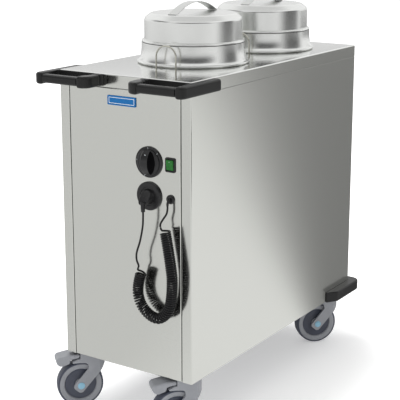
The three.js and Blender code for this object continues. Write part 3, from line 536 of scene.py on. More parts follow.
def make_finishes():
    """All finishes, each under the name that the pieces ask for."""
    settings = bpy.context.scene.dispenser_finish
    tone = {name: tuple(getattr(settings, name + "_tone")) for name in (
        "cabinet", "polished", "wire", "zinc", "moulding", "control", "cord", "castor", "tread", "cap",
        "rocker", "badge", "pale")}
    ground, polished, spun = settings.cabinet_roughness, settings.polished_roughness, settings.lid_roughness
    return {
        "panel": steel("ground_stainless_steel", tone["cabinet"], ground, 2.0, 0.035, 0.12),
        "top": steel("polished_stainless_steel", tone["polished"], polished, 3.0, 0.015, 0.05),
        "lid": spun_steel("spun_stainless_steel", tone["polished"], spun),
        # Painted shade: the lids' groove gets the polished steel darkened to a fifth of its tone, standing in
        # for the shade inside the groove.
        "groove": spun_steel("shaded_groove_steel", darker(tone["polished"], 0.8), 0.5),
        "strap": steel("matt_steel_strap", tone["polished"], 0.5, 2.0, 0.02, 0.05),
        "wire": steel("bright_steel_wire", tone["wire"], 0.2, 1.0, 0.05, 0.05),
        "zinc": steel("zinc_plated_steel", tone["zinc"], 0.38, 4.0, 0.12, 0.3),
        "moulding": moulded("black_polypropylene", tone["moulding"], 0.34, 0.7, 0.04, 0.1, 0.28),
        "control": moulded("black_abs", tone["control"], 0.3, 0.5, 0.02, 0.08, 0.38),
        "cord": moulded("cord_pvc", tone["cord"], 0.3, 0.6, 0.02, 0.1, 0.3),
        # Painted shade: the knob's right flank gets the cord's tone halved and almost no gloss, standing in
        # for the shade and dark reflection on that flank.
        "hollow": moulded("matt_black_abs", darker(tone["cord"], 0.5), 0.6, 0.6, 0.02, 0.1, 0.03),
        "castor": moulded("castor_polyamide", tone["castor"], 0.45, 0.9, 0.08, 0.1),
        "pedal": moulded("pedal_polyamide", tone["castor"], 0.5, 0.9, 0.08, 0.06),
        "tread": moulded("tread_rubber", tone["tread"], 0.55, 1.2, 0.06, 0.1),
        "cover": moulded("wheel_cover_polyamide", darker(tone["tread"], 0.08), 0.45, 0.9, 0.05, 0.1),
        "cap": moulded("cap_polyamide", tone["cap"], 0.35, 0.6, 0.02, 0.08),
        "rocker": lit_rocker("rocker_polycarbonate", tone["rocker"], 0.15),
        "badge": moulded("badge_enamel", tone["badge"], 0.25, 0.6, 0.01, 0.06, 0.2),
        "pale": moulded("pale_print", tone["pale"], 0.4, 0.5, 0.01, 0.04),
    }


FINISH = {}          # the finishes by name, filled by the stage's operator


# ---------------------------------------------------------------- stage and camera

class StageSettings(bpy.types.PropertyGroup):
    """Camera, lamps, floor and reflector cards."""
    camera_place: bpy.props.FloatVectorProperty(
        name="Camera", description="Place of the camera", size=3, subtype="TRANSLATION", unit="LENGTH",
        default=(1.663058, -2.56757, 1.321988))
    camera_yaw: bpy.props.FloatProperty(
        name="Yaw", description="Turn of the camera to the left of +Y", subtype="ANGLE", unit="ROTATION",
        default=math.radians(33.575))
    camera_pitch: bpy.props.FloatProperty(
        name="Pitch", description="Tilt of the camera below the horizon", subtype="ANGLE", unit="ROTATION",
        default=math.radians(12.83))
    camera_lens: bpy.props.FloatProperty(
        name="Lens", description="Focal length on a sensor of 36 mm", default=101.418, unit="CAMERA")
    camera_rise: bpy.props.FloatProperty(
        name="Shift", description="Shift of the frame upwards, as a share of its width", default=-0.1)
    floor_glow: bpy.props.FloatProperty(
        name="Floor", description="Light that the floor itself gives", default=0.30, min=0, max=1)
    sky_level: bpy.props.FloatProperty(
        name="Sky", description="Light that comes from all round", default=0.72, min=0, max=2)
    key_level: bpy.props.FloatProperty(
        name="Key lamp", description="Power of the large lamp over the left of the cart", default=75,
        min=0, subtype="POWER", unit="POWER")
    fill_level: bpy.props.FloatProperty(
        name="Fill lamp", description="Power of the lamp in front of the cart", default=14,
        min=0, subtype="POWER", unit="POWER")


def ray_choice(tree, kinds):
    """1 for the kinds of ray that are named, such as Is Camera Ray, and 0 for all others."""
    path = add_node(tree, "ShaderNodeLightPath")
    total = path.outputs[kinds[0]]
    for kind in kinds[1:]:
        either = add_node(tree, "ShaderNodeMath", {0: total, 1: path.outputs[kind]}, operation="MAXIMUM")
        total = either.outputs[0]
    return total


def square_mesh(name, half):
    """Flat square round the origin, facing up, that reaches half its width each way."""
    mesh = bpy.data.meshes.new(name)
    corners = [(-half, -half, 0), (half, -half, 0), (half, half, 0), (-half, half, 0)]
    mesh.from_pydata(corners, [], [(0, 1, 2, 3)])
    return mesh


def make_world(level):
    """Sky that lights the object evenly, and is white where the camera or a mirror sees it."""
    world = bpy.data.worlds.new("studio")
    bpy.context.scene.world = world
    world.use_nodes = True
    tree = world.node_tree
    tree.nodes.clear()
    sky = add_node(tree, "ShaderNodeBackground", {"Color": (1, 1, 1, 1), "Strength": level})
    seen = add_node(tree, "ShaderNodeBackground", {"Color": (1, 1, 1, 1), "Strength": 1.0})
    white = ray_choice(tree, ["Is Camera Ray", "Is Glossy Ray", "Is Transmission Ray"])
    mix = add_node(tree, "ShaderNodeMixShader", {
        "Fac": white, 1: sky.outputs["Background"], 2: seen.outputs["Background"],
    })
    output = add_node(tree, "ShaderNodeOutputWorld")
    tree.links.new(mix.outputs["Shader"], output.inputs["Surface"])


# Tones that a mirror sees on the floor, by their direction from the cart in degrees from +X.
MIRROR_FIELDS = (
    (-180, 0.76), (-110, 0.76), (-90, 0.9), (0, 0.97), (50, 0.97), (52.5, 0.8), (55, 0.5), (57, 0.32),
    (60, 0.25), (110, 0.25), (150, 0.6), (180, 0.76),
)


def make_floor(glow_level):
    """Pale floor: matt where it takes light and shadow, and a ring of lighter and darker fields in a mirror.

    Its own light grows away from the cart, so that it ends up white. The fields lie round the cart by
    direction, and give each upright steel panel a tone.
    """
    mesh = square_mesh("floor", 12.0)
    material, tree = empty_material("studio_floor")
    matt = add_node(tree, "ShaderNodeBsdfDiffuse", {"Color": (0.93, 0.93, 0.93, 1)})
    place = add_node(tree, "ShaderNodeTexCoord").outputs["Object"]
    drawn_in = add_node(tree, "ShaderNodeMapping", {"Vector": place, "Scale": (1, 0.6, 0)})
    away = add_node(tree, "ShaderNodeVectorMath", {0: drawn_in.outputs["Vector"]}, operation="LENGTH")
    near, far, far_glow = 0.32, 0.64, 0.75
    strength = add_node(tree, "ShaderNodeMapRange", {
        "Value": away.outputs["Value"], "From Min": near, "From Max": far,
        "To Min": glow_level, "To Max": far_glow,
    }, interpolation_type="SMOOTHSTEP")
    glow = add_node(tree, "ShaderNodeEmission", {
        "Color": (1, 1, 1, 1), "Strength": strength.outputs["Result"],
    })
    seen = add_node(tree, "ShaderNodeAddShader", {0: matt.outputs["BSDF"], 1: glow.outputs["Emission"]})
    turn = add_node(tree, "ShaderNodeTexGradient", {"Vector": place}, gradient_type="RADIAL")
    fields = add_node(tree, "ShaderNodeValToRGB", {"Fac": turn.outputs["Fac"]})
    stops = fields.color_ramp.elements
    for degrees, level in MIRROR_FIELDS[1:-1]:
        stops.new(degrees / 360 + 0.5)
    for stop, (degrees, level) in zip(stops, MIRROR_FIELDS):
        stop.position = degrees / 360 + 0.5
        stop.color = (level, level, level, 1)
    mirror = add_node(tree, "ShaderNodeEmission", {"Color": fields.outputs["Color"], "Strength": 1.0})
    mix = add_node(tree, "ShaderNodeMixShader", {
        "Fac": ray_choice(tree, ["Is Glossy Ray", "Is Transmission Ray"]),
        1: seen.outputs["Shader"], 2: mirror.outputs["Emission"],
    })
    output = add_node(tree, "ShaderNodeOutputMaterial")
    tree.links.new(mix.outputs["Shader"], output.inputs["Surface"])
    mesh.materials.append(material)
    floor = bpy.data.objects.new("floor", mesh)
    bpy.context.scene.collection.objects.link(floor)


def make_card(name, place, aim, width, height, level, soft):
    """Grey card that only polished surfaces see, clear towards its edges.

    Soft is the share of its half width, and of its half height, over which it fades. Its cover is the product
    of the two fades, each (1 - distance) / soft, kept between 0 and 1 and eased at both ends.
    """
    mesh = square_mesh(name, 1)
    material, tree = empty_material(name)
    place_on_card = add_node(tree, "ShaderNodeTexCoord").outputs["Object"]
    axes = add_node(tree, "ShaderNodeSeparateXYZ", {0: place_on_card})
    cover = None
    for axis, share in zip("XY", soft):
        distance = add_node(tree, "ShaderNodeMath", {0: axes.outputs[axis]}, operation="ABSOLUTE")
        fade = add_node(tree, "ShaderNodeMapRange", {
            "Value": distance.outputs[0], "From Min": 1.0, "From Max": 1.0 - share,
        }, interpolation_type="SMOOTHSTEP").outputs["Result"]
        cover = fade if cover is None else add_node(
            tree, "ShaderNodeMath", {0: cover, 1: fade}, operation="MULTIPLY").outputs[0]
    glow = add_node(tree, "ShaderNodeEmission", {"Color": (level, level, level, 1), "Strength": 1.0})
    open_air = add_node(tree, "ShaderNodeBsdfTransparent")
    mix = add_node(tree, "ShaderNodeMixShader", {
        "Fac": cover, 1: open_air.outputs["BSDF"], 2: glow.outputs["Emission"],
    })
    output = add_node(tree, "ShaderNodeOutputMaterial")
    tree.links.new(mix.outputs["Shader"], output.inputs["Surface"])
    mesh.materials.append(material)
    card = bpy.data.objects.new(name, mesh)
    bpy.context.scene.collection.objects.link(card)
    card.location = place
    card.rotation_euler = look(place, aim)
    card.scale = (width / 2, height / 2, 1)
    for kind in ("camera", "diffuse", "shadow", "transmission", "volume_scatter"):
        setattr(card, f"visible_{kind}", False)


def look(place, aim):
    """Turn that points an object's -Z axis from a place to an aim, its +Y axis up."""
    way = Vector(aim) - Vector(place)
    return way.to_track_quat("-Z", "Y").to_euler()


def make_lamp(name, place, aim, size, power):
    """Square soft box that shines from a place to an aim."""
    lamp = bpy.data.lights.new(name, "AREA")
    lamp.shape = "SQUARE"
    lamp.size = size
    lamp.energy = power
    holder = bpy.data.objects.new(name, lamp)
    bpy.context.scene.collection.objects.link(holder)
    holder.location = place
    holder.rotation_euler = look(place, aim)
    holder.visible_glossy = False


class DISPENSER_OT_stage(bpy.types.Operator):
    """Make the camera, the white studio, its lamps, the cards that the steel mirrors, and the finishes"""
    bl_idname = "dispenser.stage"
    bl_label = "Stage"

    def execute(self, context):
        stage = context.scene.dispenser_stage
        context.scene.view_settings.view_transform = "Standard"
        data = bpy.data.cameras.new("camera")
        data.lens = stage.camera_lens
        data.shift_y = stage.camera_rise
        camera = bpy.data.objects.new("camera", data)
        context.scene.collection.objects.link(camera)
        camera.location = stage.camera_place
        camera.rotation_euler = (math.pi / 2 - stage.camera_pitch, 0, stage.camera_yaw)
        context.scene.camera = camera
        make_world(stage.sky_level)
        make_floor(stage.floor_glow)
        make_lamp("key", (-1.2, 0.3, 3.9), (0, 0, 0.5), 2.2, stage.key_level)
        make_lamp("fill", (0.6, -3.6, 1.9), (0, 0, 0.5), 1.6, stage.fill_level)
        make_card("card_front", (1.74, -2.68, 1.95), (0, 0, 1.95), 9.0, 2.2, 0.03, (0.7, 0.6))
        make_card("card_left", (-2.3, -1.93, 2.35), (0, 0, 2.35), 4.0, 2.6, 0.16, (0.6, 0.8))
        make_card("card_back", (-1.6, 2.5, 1.33), (0, 0, 1.33), 9.0, 0.42, 0.55, (0.5, 1.0))
        make_card("card_right", (1.25, 0.65, 1.15), (0, 0.65, 1.15), 1.9, 1.0, 0.12, (0.7, 0.3))
        make_card("card_low", (2.53, -0.93, 0.17), (0.08, -0.41, 0.17), 3.9, 0.34, 0.03, (0.3, 0.2))
        make_card("card_top", (0, 0, 3.4), (0, 0, 0), 4.5, 4.5, 0.7, (0.6, 0.6))
        FINISH.update(make_finishes())
        return {"FINISHED"}


# ---------------------------------------------------------------- cord

class CordSettings(bpy.types.PropertyGroup):
    """Sizes of the curly cord."""
    diameter: size_setting("Cord", "Diameter of the cord", 5.0, 2, 12)
    curl_radius: size_setting("Curls", "Radius of the curls' centre line", 11.5, 5, 40)
    curl_gap: size_setting("Gap", "Free space between two curls on the inside of a bend", 0.55, 0.1, 5)


FRONT = span("front_panel", 1)[0]                # the front of the cabinet
CENTRE_X = middle("worktop")[0]                  # the cart's middle plane
COIL_STANDOFF = 26                               # of the coil's middle line, from the front panel
COIL_ROUTE = [
    (139, 561), (146, 526), (157, 464), (161, 427), (154, 363), (139, 337),
    (118, 324), (92, 329), (68, 350), (58, 376), (59, 402), (70, 442),
]
GLAND_ROUTE = [(140, 14, 611.7), (140, 14, 604), (138.5, 16, 592), (132, 21, 579), (127.5, 25, 569)]
PLUG_ROUTE = [
    (56.5, 28.5, 464), (58, 31, 482), (70, 32, 517), (78.5, 32, 556), (80, 32, 580), (80, 32, 591.7),
]


def off_panel(x, standoff, z):
    """Point that lies so far right of the cart's middle, in front of the panel and above the floor."""
    return np.array([CENTRE_X + x, FRONT - standoff, z])


def curls(settings):
    """Centre line of the curls, the direction out of the coil along it, and the coil's two end headings.

    The middle line is a smooth curve down the panel and up again. At the distance s along it, the cord lies
    at the curl radius times (cos a, sin a), measured from the direction beside the curve towards the panel.
    The angle a grows by 2 pi for each pitch. The pitch is the cord and its gap, divided by 1 minus 0.7 of the
    radius times the bend, so that there is room on the inside of a bend. At both ends the winding starts
    slowly.
    """
    route = [off_panel(x, COIL_STANDOFF, z) for x, z in COIL_ROUTE]
    count, points_per_turn = 6000, 24
    bend_reach, slow_start = 4, 12
    line, along, total = catmull(route, count)
    s = np.linspace(0, total, count)
    reach = max(1, round(bend_reach / total * count))
    turn = np.arccos(np.clip(np.sum(along[2 * reach:] * along[:-2 * reach], 1), -1, 1))
    bend = np.pad(turn, reach, mode="edge") / (2 * reach * total / count)
    pitch = (settings.diameter + settings.curl_gap) / (1 - 0.7 * settings.curl_radius * bend)
    run = np.clip((np.minimum(s, total - s) - settings.diameter) / slow_start, 0, 1)
    winding = run * run * (3 - 2 * run)
    angle = np.append(0, np.cumsum((winding / pitch)[1:] * np.diff(s)))
    turns = math.floor(angle[-1] - 0.5) + 0.5
    angle *= 2 * np.pi * turns / angle[-1]
    wanted = np.linspace(0, angle[-1], round(turns * points_per_turn))
    ends = np.linspace(0, settings.diameter, 4)
    at = np.concatenate([ends[:-1], np.interp(wanted, angle + s * 1e-6, s), total - ends[-2::-1]])
    at = np.unique(np.round(at, 4))
    phase = np.interp(at, s, angle)[:, None]
    middle_line = np.stack([np.interp(at, s, line[:, i]) for i in range(3)], -1)
    ahead = np.stack([np.interp(at, s, along[:, i]) for i in range(3)], -1)
    to_panel = np.array([0.0, 1.0, 0.0])
    radial = unit(np.cross(to_panel, ahead)) * np.cos(phase) + to_panel * np.sin(phase)
    return middle_line + settings.curl_radius * radial, radial, along[0], along[-1]


class DISPENSER_OT_cord(bpy.types.Operator):
    """Make the mains cord in one run: a lead from the gland, the curls, and a lead up to the parked plug"""
    bl_idname = "dispenser.cord"
    bl_label = "Mains cord"

    def execute(self, context):
        settings = context.scene.dispenser_cord
        coil, radial, start, end = curls(settings)
        first = [off_panel(*point) for point in GLAND_ROUTE]
        last = [off_panel(*point) for point in PLUG_ROUTE]
        down, _, _ = catmull([*first, coil[0] - settings.diameter * start, coil[0]], 40)
        up, _, _ = catmull([coil[-1], coil[-1] + settings.diameter * end, *last], 90)
        path = np.vstack([down[:-1], coil, up[1:]])
        sideways = np.array([1.0, 0.0, 0.0])
        hints = np.vstack([
            np.tile(sideways, (len(down) - 1, 1)), radial, np.tile(sideways, (len(up) - 1, 1)),
        ])
        jacket = swept(path, circle(settings.diameter / 2, 10), hints)
        cord = build("mains_cord", [jacket], FINISH["cord"], 80)
        dress(cord, CABINET, "cord_black", "cord_gland_lead", "cord_coil", "cord_plug_lead")
        plug = make_plug()
        gland = make_gland()
        return {"FINISHED"}


def make_plug():
    """Right-angle plug parked in its socket: a body that leans out downwards, and a ribbed sleeve below it.

    The body's outline goes from a circle at the back to the curve |x / a| ^ 3 + |z / b| ^ 3 = 1 in front. Its
    front is a plane that leans out by the lean for each millimetre down, with a rounded rim.
    """
    back = span("plug", 1)[1]
    x, _, z = middle("park_socket")
    wide, tall, radius = 14.0, 17.0, 20.0
    middle_depth, lean, edge = 20.0, 0.72, 3.0
    angle = np.linspace(0, 2 * np.pi, 96, endpoint=False)
    ahead = np.array([np.cos(angle), np.sin(angle)])
    front = (np.abs(ahead[0] / wide) ** 3 + np.abs(ahead[1] / tall) ** 3) ** (-1 / 3)
    bend = np.linspace(0, np.pi / 2, 6)
    rings = 10
    share = np.concatenate([np.linspace(0, 1, rings), np.ones(len(bend))])[:, None]
    inset = np.concatenate([np.zeros(rings), edge * (1 - np.cos(bend))])[:, None]
    short = np.concatenate([np.full(rings, edge), edge * (1 - np.sin(bend))])[:, None]
    reach = radius + (front - radius) * share ** 0.8 - inset
    plan = reach[None] * ahead[:, None]
    depth = share * (middle_depth - lean * plan[1] - short)
    body = skin(np.dstack([plan[0], plan[1], depth]))
    sleeve_x, sleeve_y = x + 3, FRONT - 32
    end, length, rib_pitch, bore = z - 33, 25, 4, 2.9
    ribs = []
    for i in range(5):
        top = end + length - rib_pitch * i
        rib = 6.3 - 0.15 * i
        neck = rib - 0.8
        ribs += [(rib, top, 0.4), (rib, top - 2.6, 0.4), (neck, top - 3, 0.2), (neck, top - 3.8, 0.2)]
    sleeve = rounded([
        (0, end + length), *ribs, (5.3, end, 0.8), (bore, end, 0.2), (bore, end + 3), (0, end + 3),
    ], closed=False)
    keel = [(-1.3, -11, 0.9, 0.4), (1.3, -11, 0.9, 0.4), (1.3, 4, 0.9, 0.4), (-1.3, 4, 0.9, 0.4)]
    points, faces = raised(rounded(keel), middle_depth - 4, middle_depth + 0.6)
    points[:, 2] -= lean * points[:, 1]
    plug = build("parked_plug", [
        on_front(body, x, z, back),
        on_front((points, faces), x, z, back),
        upright(turned(sleeve, 40), sleeve_x, sleeve_y),
    ], FINISH["control"])
    return dress(plug, CABINET, "cord_black", "plug")


def make_gland():
    """Gland: a low ring on the panel, and a slim sleeve that bends from its bore down round the cord."""
    x, z = middle("cord_gland")[0], span("cord_gland", 2)[0]
    back = FRONT - CLEARANCE
    bore, neck, outer = 4.6, 7.2, 11.5
    ring_z = span("cord_gland", 2)[1] - outer
    ring = rounded([
        (bore, -12, 0.4), (neck, -12, 0.5), (neck, 0, 0.2), (outer, 0, 0.3), (outer, 2.6, 1.2),
        (8.5, 4.6, 1.5), (bore, 4, 1),
    ])[:, :2]
    exit_y = FRONT - 14
    centre_line, _, _ = catmull([
        (x, back + 6, ring_z), (x, back, ring_z), (x, back - 6, ring_z - 0.8),
        (x, exit_y + 1, z + 6), (x, exit_y, z),
    ], 40)
    width = np.linspace(3.9, 3.0, 40)[:, None, None]
    sleeve = swept(centre_line, circle(1, 20)[None] * width, np.array([1.0, 0.0, 0.0]))
    gland = build("cord_gland_ring", [
        on_front(turned(ring, 48, loop=True), x, ring_z, back),
        sleeve,
    ], FINISH["control"])
    return dress(gland, CABINET, "black_plastic", "cord_gland")


# ---------------------------------------------------------------- cabinet

class CabinetSettings(bpy.types.PropertyGroup):
    """Sizes of the sheet metal and of its bends, in millimetres."""
    sheet: size_setting("Sheet", "Thickness of the panels", 1.5, 0.8, 3)
    bend: size_setting("Bend", "Outer radius of the folded edges", 3.0, 1.6, 8)
    fold: size_setting("Return", "Depth of the folded returns", 15.0, 5, 30)
    edge: size_setting("Cut edge", "Rounding of the sheets' cut edges", 0.4, 0, 0.7)


TUBE_COLLAR = 7          # of a tube's collar, outwards from the tube
TUBE_SHEET = 1.5


def rectangle(low, high, radius, cuts=((), ())):
    """Outline of a rectangle with round corners. Cuts are places where its sides get a point of their own."""
    (x0, y0), (x1, y1) = low, high
    across, along = cuts
    return rounded([
        (x0, y0, radius), *((x, y0) for x in across),
        (x1, y0, radius), *((x1, y) for y in along),
        (x1, y1, radius), *((x, y1) for x in across[::-1]),
        (x0, y1, radius), *((x0, y) for y in along[::-1]),
    ])


def pan_rows(low, high, radius, profile, cuts=((), ())):
    """Rows of a pan: its outline drawn in by each inset of a profile [inset, height]."""
    rows = []
    for inset, height in profile[:, :2]:
        corner_radius = max(radius - inset, 0.3)
        line = rectangle(np.array(low) + inset, np.array(high) - inset, corner_radius, cuts)[:, :2]
        rows.append(np.column_stack([line, np.full(len(line), height)]))
    return np.array(rows)


def plate_round_hole(boundary, centre, radius, height):
    """Flat ring from a round hole to an outline, each of whose points goes with one of the hole."""
    way = unit(boundary - np.array(centre))
    ring = np.array(centre) + radius * way
    rows = np.array([np.column_stack([line, np.full(len(line), height)]) for line in (ring, boundary)])
    return rows.reshape(-1, 3), grid_faces(2, len(boundary))


def worktop_shells(cabinet):
    """Patches of the worktop: its folded rim, and round each hole two flat rings and the hole's edge.

    Half of the rim's inner outline and the dividing line between the holes go round each hole. The outline's
    points are put in order by their direction from the middle of the dividing line.
    """
    low, high = box("worktop")
    thick = 2.0
    flat = cabinet.bend * 2
    hole = box("front_tube")[1][0] - middle("front_tube")[0] - TUBE_COLLAR + CLEARANCE
    centres = [middle(f"{end}_tube")[:2] for end in ENDS]
    shared = (centres[0][1] + centres[1][1]) / 2
    across = np.linspace(low[0] + 12, high[0] - 12, 30)
    along = np.concatenate([np.linspace(low[1] + 12, shared, 34), np.linspace(shared, high[1] - 12, 30)[1:]])
    top, under, foot = high[2], high[2] - thick, low[2]
    profile = rounded([
        (flat, top), (0, top, cabinet.bend), (0, foot, cabinet.edge), (thick, foot, cabinet.edge),
        (thick, under, 1.0), (flat, under),
    ], closed=False, steps=6)
    rows = pan_rows(low[:2], high[:2], cabinet.bend, profile, (across, along))
    shells = [(rows.reshape(-1, 3), grid_faces(len(rows), rows.shape[1]))]
    line = rows[0, :, :2]
    divide = np.linspace(line[:, 0].min(), line[:, 0].max(), 34)[1:-1]
    divide = np.column_stack([divide, np.full(len(divide), shared)])
    for centre, ahead in zip(centres, (-1, 1)):
        edge = line[ahead * (line[:, 1] - shared) >= -1e-6]
        angle = np.arctan2(np.abs(edge[:, 1] - shared), ahead * (edge[:, 0] - CENTRE_X))
        edge = edge[np.argsort(angle)]
        boundary = np.vstack([edge, divide[::ahead]])
        shells += [plate_round_hole(boundary, centre, hole, height) for height in (top, under)]
        ring = np.array(centre) + hole * unit(boundary - np.array(centre))
        wall = np.array([np.column_stack([ring, np.full(len(ring), height)]) for height in (under, top)])
        shells.append((wall.reshape(-1, 3), grid_faces(2, len(ring))))
    return shells


def side_panel(cabinet, name, side):
    """Side panel folded round both corners of the cabinet, with a return on each flange."""
    low, high = box(name)
    inner, outer = (low[0], high[0]) if side > 0 else (high[0], low[0])
    y0, y1 = low[1], high[1]
    sheet, edge = cabinet.sheet, cabinet.edge
    inside = inner + side * sheet
    skin_x = outer - side * sheet
    bend, fold = cabinet.bend, cabinet.fold
    return raised(rounded([
        (inner, y0, 2, edge), (outer, y0, bend, edge), (outer, y1, bend, edge), (inner, y1, 2, edge),
        (inner, y1 - fold, 0.4, 0.1), (inside, y1 - fold, 0.4, 0.1), (inside, y1 - sheet, 0.6, edge),
        (skin_x, y1 - sheet, 1.5, edge), (skin_x, y0 + sheet, 1.5, edge), (inside, y0 + sheet, 0.6, edge),
        (inside, y0 + fold, 0.4, 0.1), (inner, y0 + fold, 0.4, 0.1),
    ]), low[2], high[2])


def end_panel(cabinet, name):
    """Pan with its four edges folded back, drawn on its own plan."""
    low, high = box(name)
    half = (high - low) / 2
    sheet, fold, edge = cabinet.sheet, cabinet.fold, cabinet.edge
    profile = rounded([
        (5, 0), (0, 0, 2.2), (0, -fold, edge), (sheet, -fold, edge), (sheet, -sheet, 0.6), (5, -sheet),
    ], closed=False)
    return skin(pan_rows((-half[0], -half[2]), (half[0], half[2]), 1.2, profile))


class DISPENSER_OT_cabinet(bpy.types.Operator):
    """Make the worktop, the two folded side panels and the front and rear panels"""
    bl_idname = "dispenser.cabinet"
    bl_label = "Cabinet"

    def execute(self, context):
        cabinet = context.scene.dispenser_cabinet
        top = build("worktop_sheet", worktop_shells(cabinet), FINISH["top"], weld=True)
        dress(top, CABINET, "polished_steel", "worktop")
        is_upright = np.abs(by_polygon(top, "normal")[:, 2]) < 0.3
        second_finish(top, FINISH["panel"], is_upright)
        for name, side in SIDES:
            node = f"{name}_side_panel"
            panel = build(f"{node}_sheet", [side_panel(cabinet, node, side)], FINISH["panel"])
            dress(panel, CABINET, "cabinet_steel", node)
        x, _, z = middle("front_panel")
        stood = {
            "front_panel": on_front(end_panel(cabinet, "front_panel"), x, z, FRONT),
            "rear_panel": placed(
                end_panel(cabinet, "rear_panel"), (-1, 0, 0), (0, 0, 1), (0, 1, 0),
                (x, span("rear_panel", 1)[1], z)),
        }
        for node, shell in stood.items():
            dress(build(f"{node}_sheet", [shell], FINISH["panel"]), CABINET, "cabinet_steel", node)
        for node in ("base_tray", "heater"):
            repaint(node, FINISH["zinc"])
        return {"FINISHED"}


class DISPENSER_OT_badge(bpy.types.Operator):
    """Make the bare badge plate: a raised rim, a plain field and one pale line round it"""
    bl_idname = "dispenser.badge"
    bl_label = "Badge plate"

    def execute(self, context):
        low, high = box("badge_plate")
        half = (high - low) / 2
        depth = high[1] - low[1]
        x, _, z = middle("badge_plate")
        corners = ((-half[0], -half[2]), (half[0], half[2]))
        field = depth - 0.7
        plate = rounded([
            (8, 0), (0, 0, 0.3), (0, depth, 0.8), (2.4, depth, 0.3), (3, field, 0.3), (8, field),
        ], closed=False)
        stripe = np.array([(4.3, field - 0.2), (4.3, field + 0.15), (5.5, field + 0.15), (5.5, field - 0.2)])
        shell = on_front(skin(pan_rows(*corners, 2.0, plate)), x, z, high[1])
        line = on_front(skin(pan_rows(*corners, 2.0, stripe), loop=True), x, z, high[1])
        dress(build("badge", [shell], FINISH["badge"]), CABINET, "badge_blue", "badge_plate")
        dress(build("badge_line", [line], FINISH["pale"]), CABINET, "badge_blue")
        return {"FINISHED"}


# ---------------------------------------------------------------- tubes, platforms and springs

def spring_shell(node):
    """Open compression spring: six and a half turns, whose first and last three quarters lie flat.

    The angle grows evenly. The height grows with it, from one wire radius above the bottom to one below the
    top, eased so that the end turns leave the flat slowly.
    """
    low, high = box(node)
    x, y, _ = middle(node)
    wire = 2.5
    turns, flat, points_per_turn = 6.5, 0.75, 48
    t = np.linspace(0, turns, round(turns * points_per_turn))
    rise = np.clip((t - flat) / (turns - 2 * flat), 0, 1)
    eased = 0.15 * rise * rise * (3 - 2 * rise) + 0.85 * rise
    radius = (high[0] - low[0]) / 2 - wire
    height = low[2] + wire + (high[2] - low[2] - 2 * wire) * eased
    path = np.stack([x + radius * np.cos(2 * np.pi * t), y + radius * np.sin(2 * np.pi * t), height], -1)
    return swept(path, circle(wire, 10), np.array([0.0, 0.0, 1.0]))


class DISPENSER_OT_tubes(bpy.types.Operator):
    """Make the two dispenser tubes with their collars, the plate platforms and their springs"""
    bl_idname = "dispenser.tubes"
    bl_label = "Tubes and platforms"

    def execute(self, context):
        for end in ENDS:
            low, high = box(f"{end}_tube")
            x, y, _ = middle(f"{end}_tube")
            collar = (high[0] - low[0]) / 2
            outer = collar - TUBE_COLLAR
            inner = outer - TUBE_SHEET
            under = high[2] - TUBE_SHEET
            wall = rounded([
                (inner, low[2], 0.4), (outer, low[2], 0.4), (outer, under, 1.0),
                (collar, under, 0.4), (collar, high[2], 0.9), (inner, high[2], 1.4),
            ])[:, :2]
            ring = upright(turned(wall, 144, loop=True), x, y)
            tube = build(f"{end}_dispenser_tube", [ring], FINISH["panel"])
            dress(tube, CABINET, "cabinet_steel", f"{end}_tube")
            low, high = box(f"{end}_platform")
            rim = (high[0] - low[0]) / 2
            top, foot = high[2], low[2]
            inside, under = rim - 1.8, top - 1.9
            dish = rounded([
                (0, top), (60, top, 3), (62, top - 1, 3), (96, top - 1, 3), (98, top, 3), (rim, top, 5),
                (rim, foot, 0.7), (inside, foot, 0.7), (inside, under, 3), (0, under),
            ], closed=False)[:, :2]
            platform = build(f"{end}_plate_rest", [upright(turned(dish, 144), x, y)], FINISH["lid"])
            dress(platform, f"{end}_platform", "polished_steel", f"{end}_platform")
            spring = build(f"{end}_lift_spring", [spring_shell(f"{end}_spring")], FINISH["wire"], 80)
            dress(spring, CABINET, "steel_wire", f"{end}_spring")
            bottom, top = np.array(span(f"{end}_spring", 2)) * MM
            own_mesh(spring)
        return {"FINISHED"}


# ---------------------------------------------------------------- lids and guides

class LidSettings(bpy.types.PropertyGroup):
    """Shape of the lids, in millimetres."""
    sides: bpy.props.IntProperty(
        name="Sides", description="Faces round each lid", default=160, min=24, max=360)
    shoulder: size_setting("Shoulder", "Rounding between the band and the slope above it", 9, 1, 12)
    crown: size_setting("Crown", "Rounding between the slope and the flat top", 12, 1, 14)
    bead: size_setting("Bead", "Rounding of the rolled rim", 2.0, 0.5, 2.0)
    flare: size_setting("Flare", "How far the skirt swings out from its top to its rim", 6.2, 2, 6.5)


LEDGE_INSET = 13       # of a lid's ledge, inwards from its rim
GROOVE_DEPTH = 74      # of a lid's groove, below its top


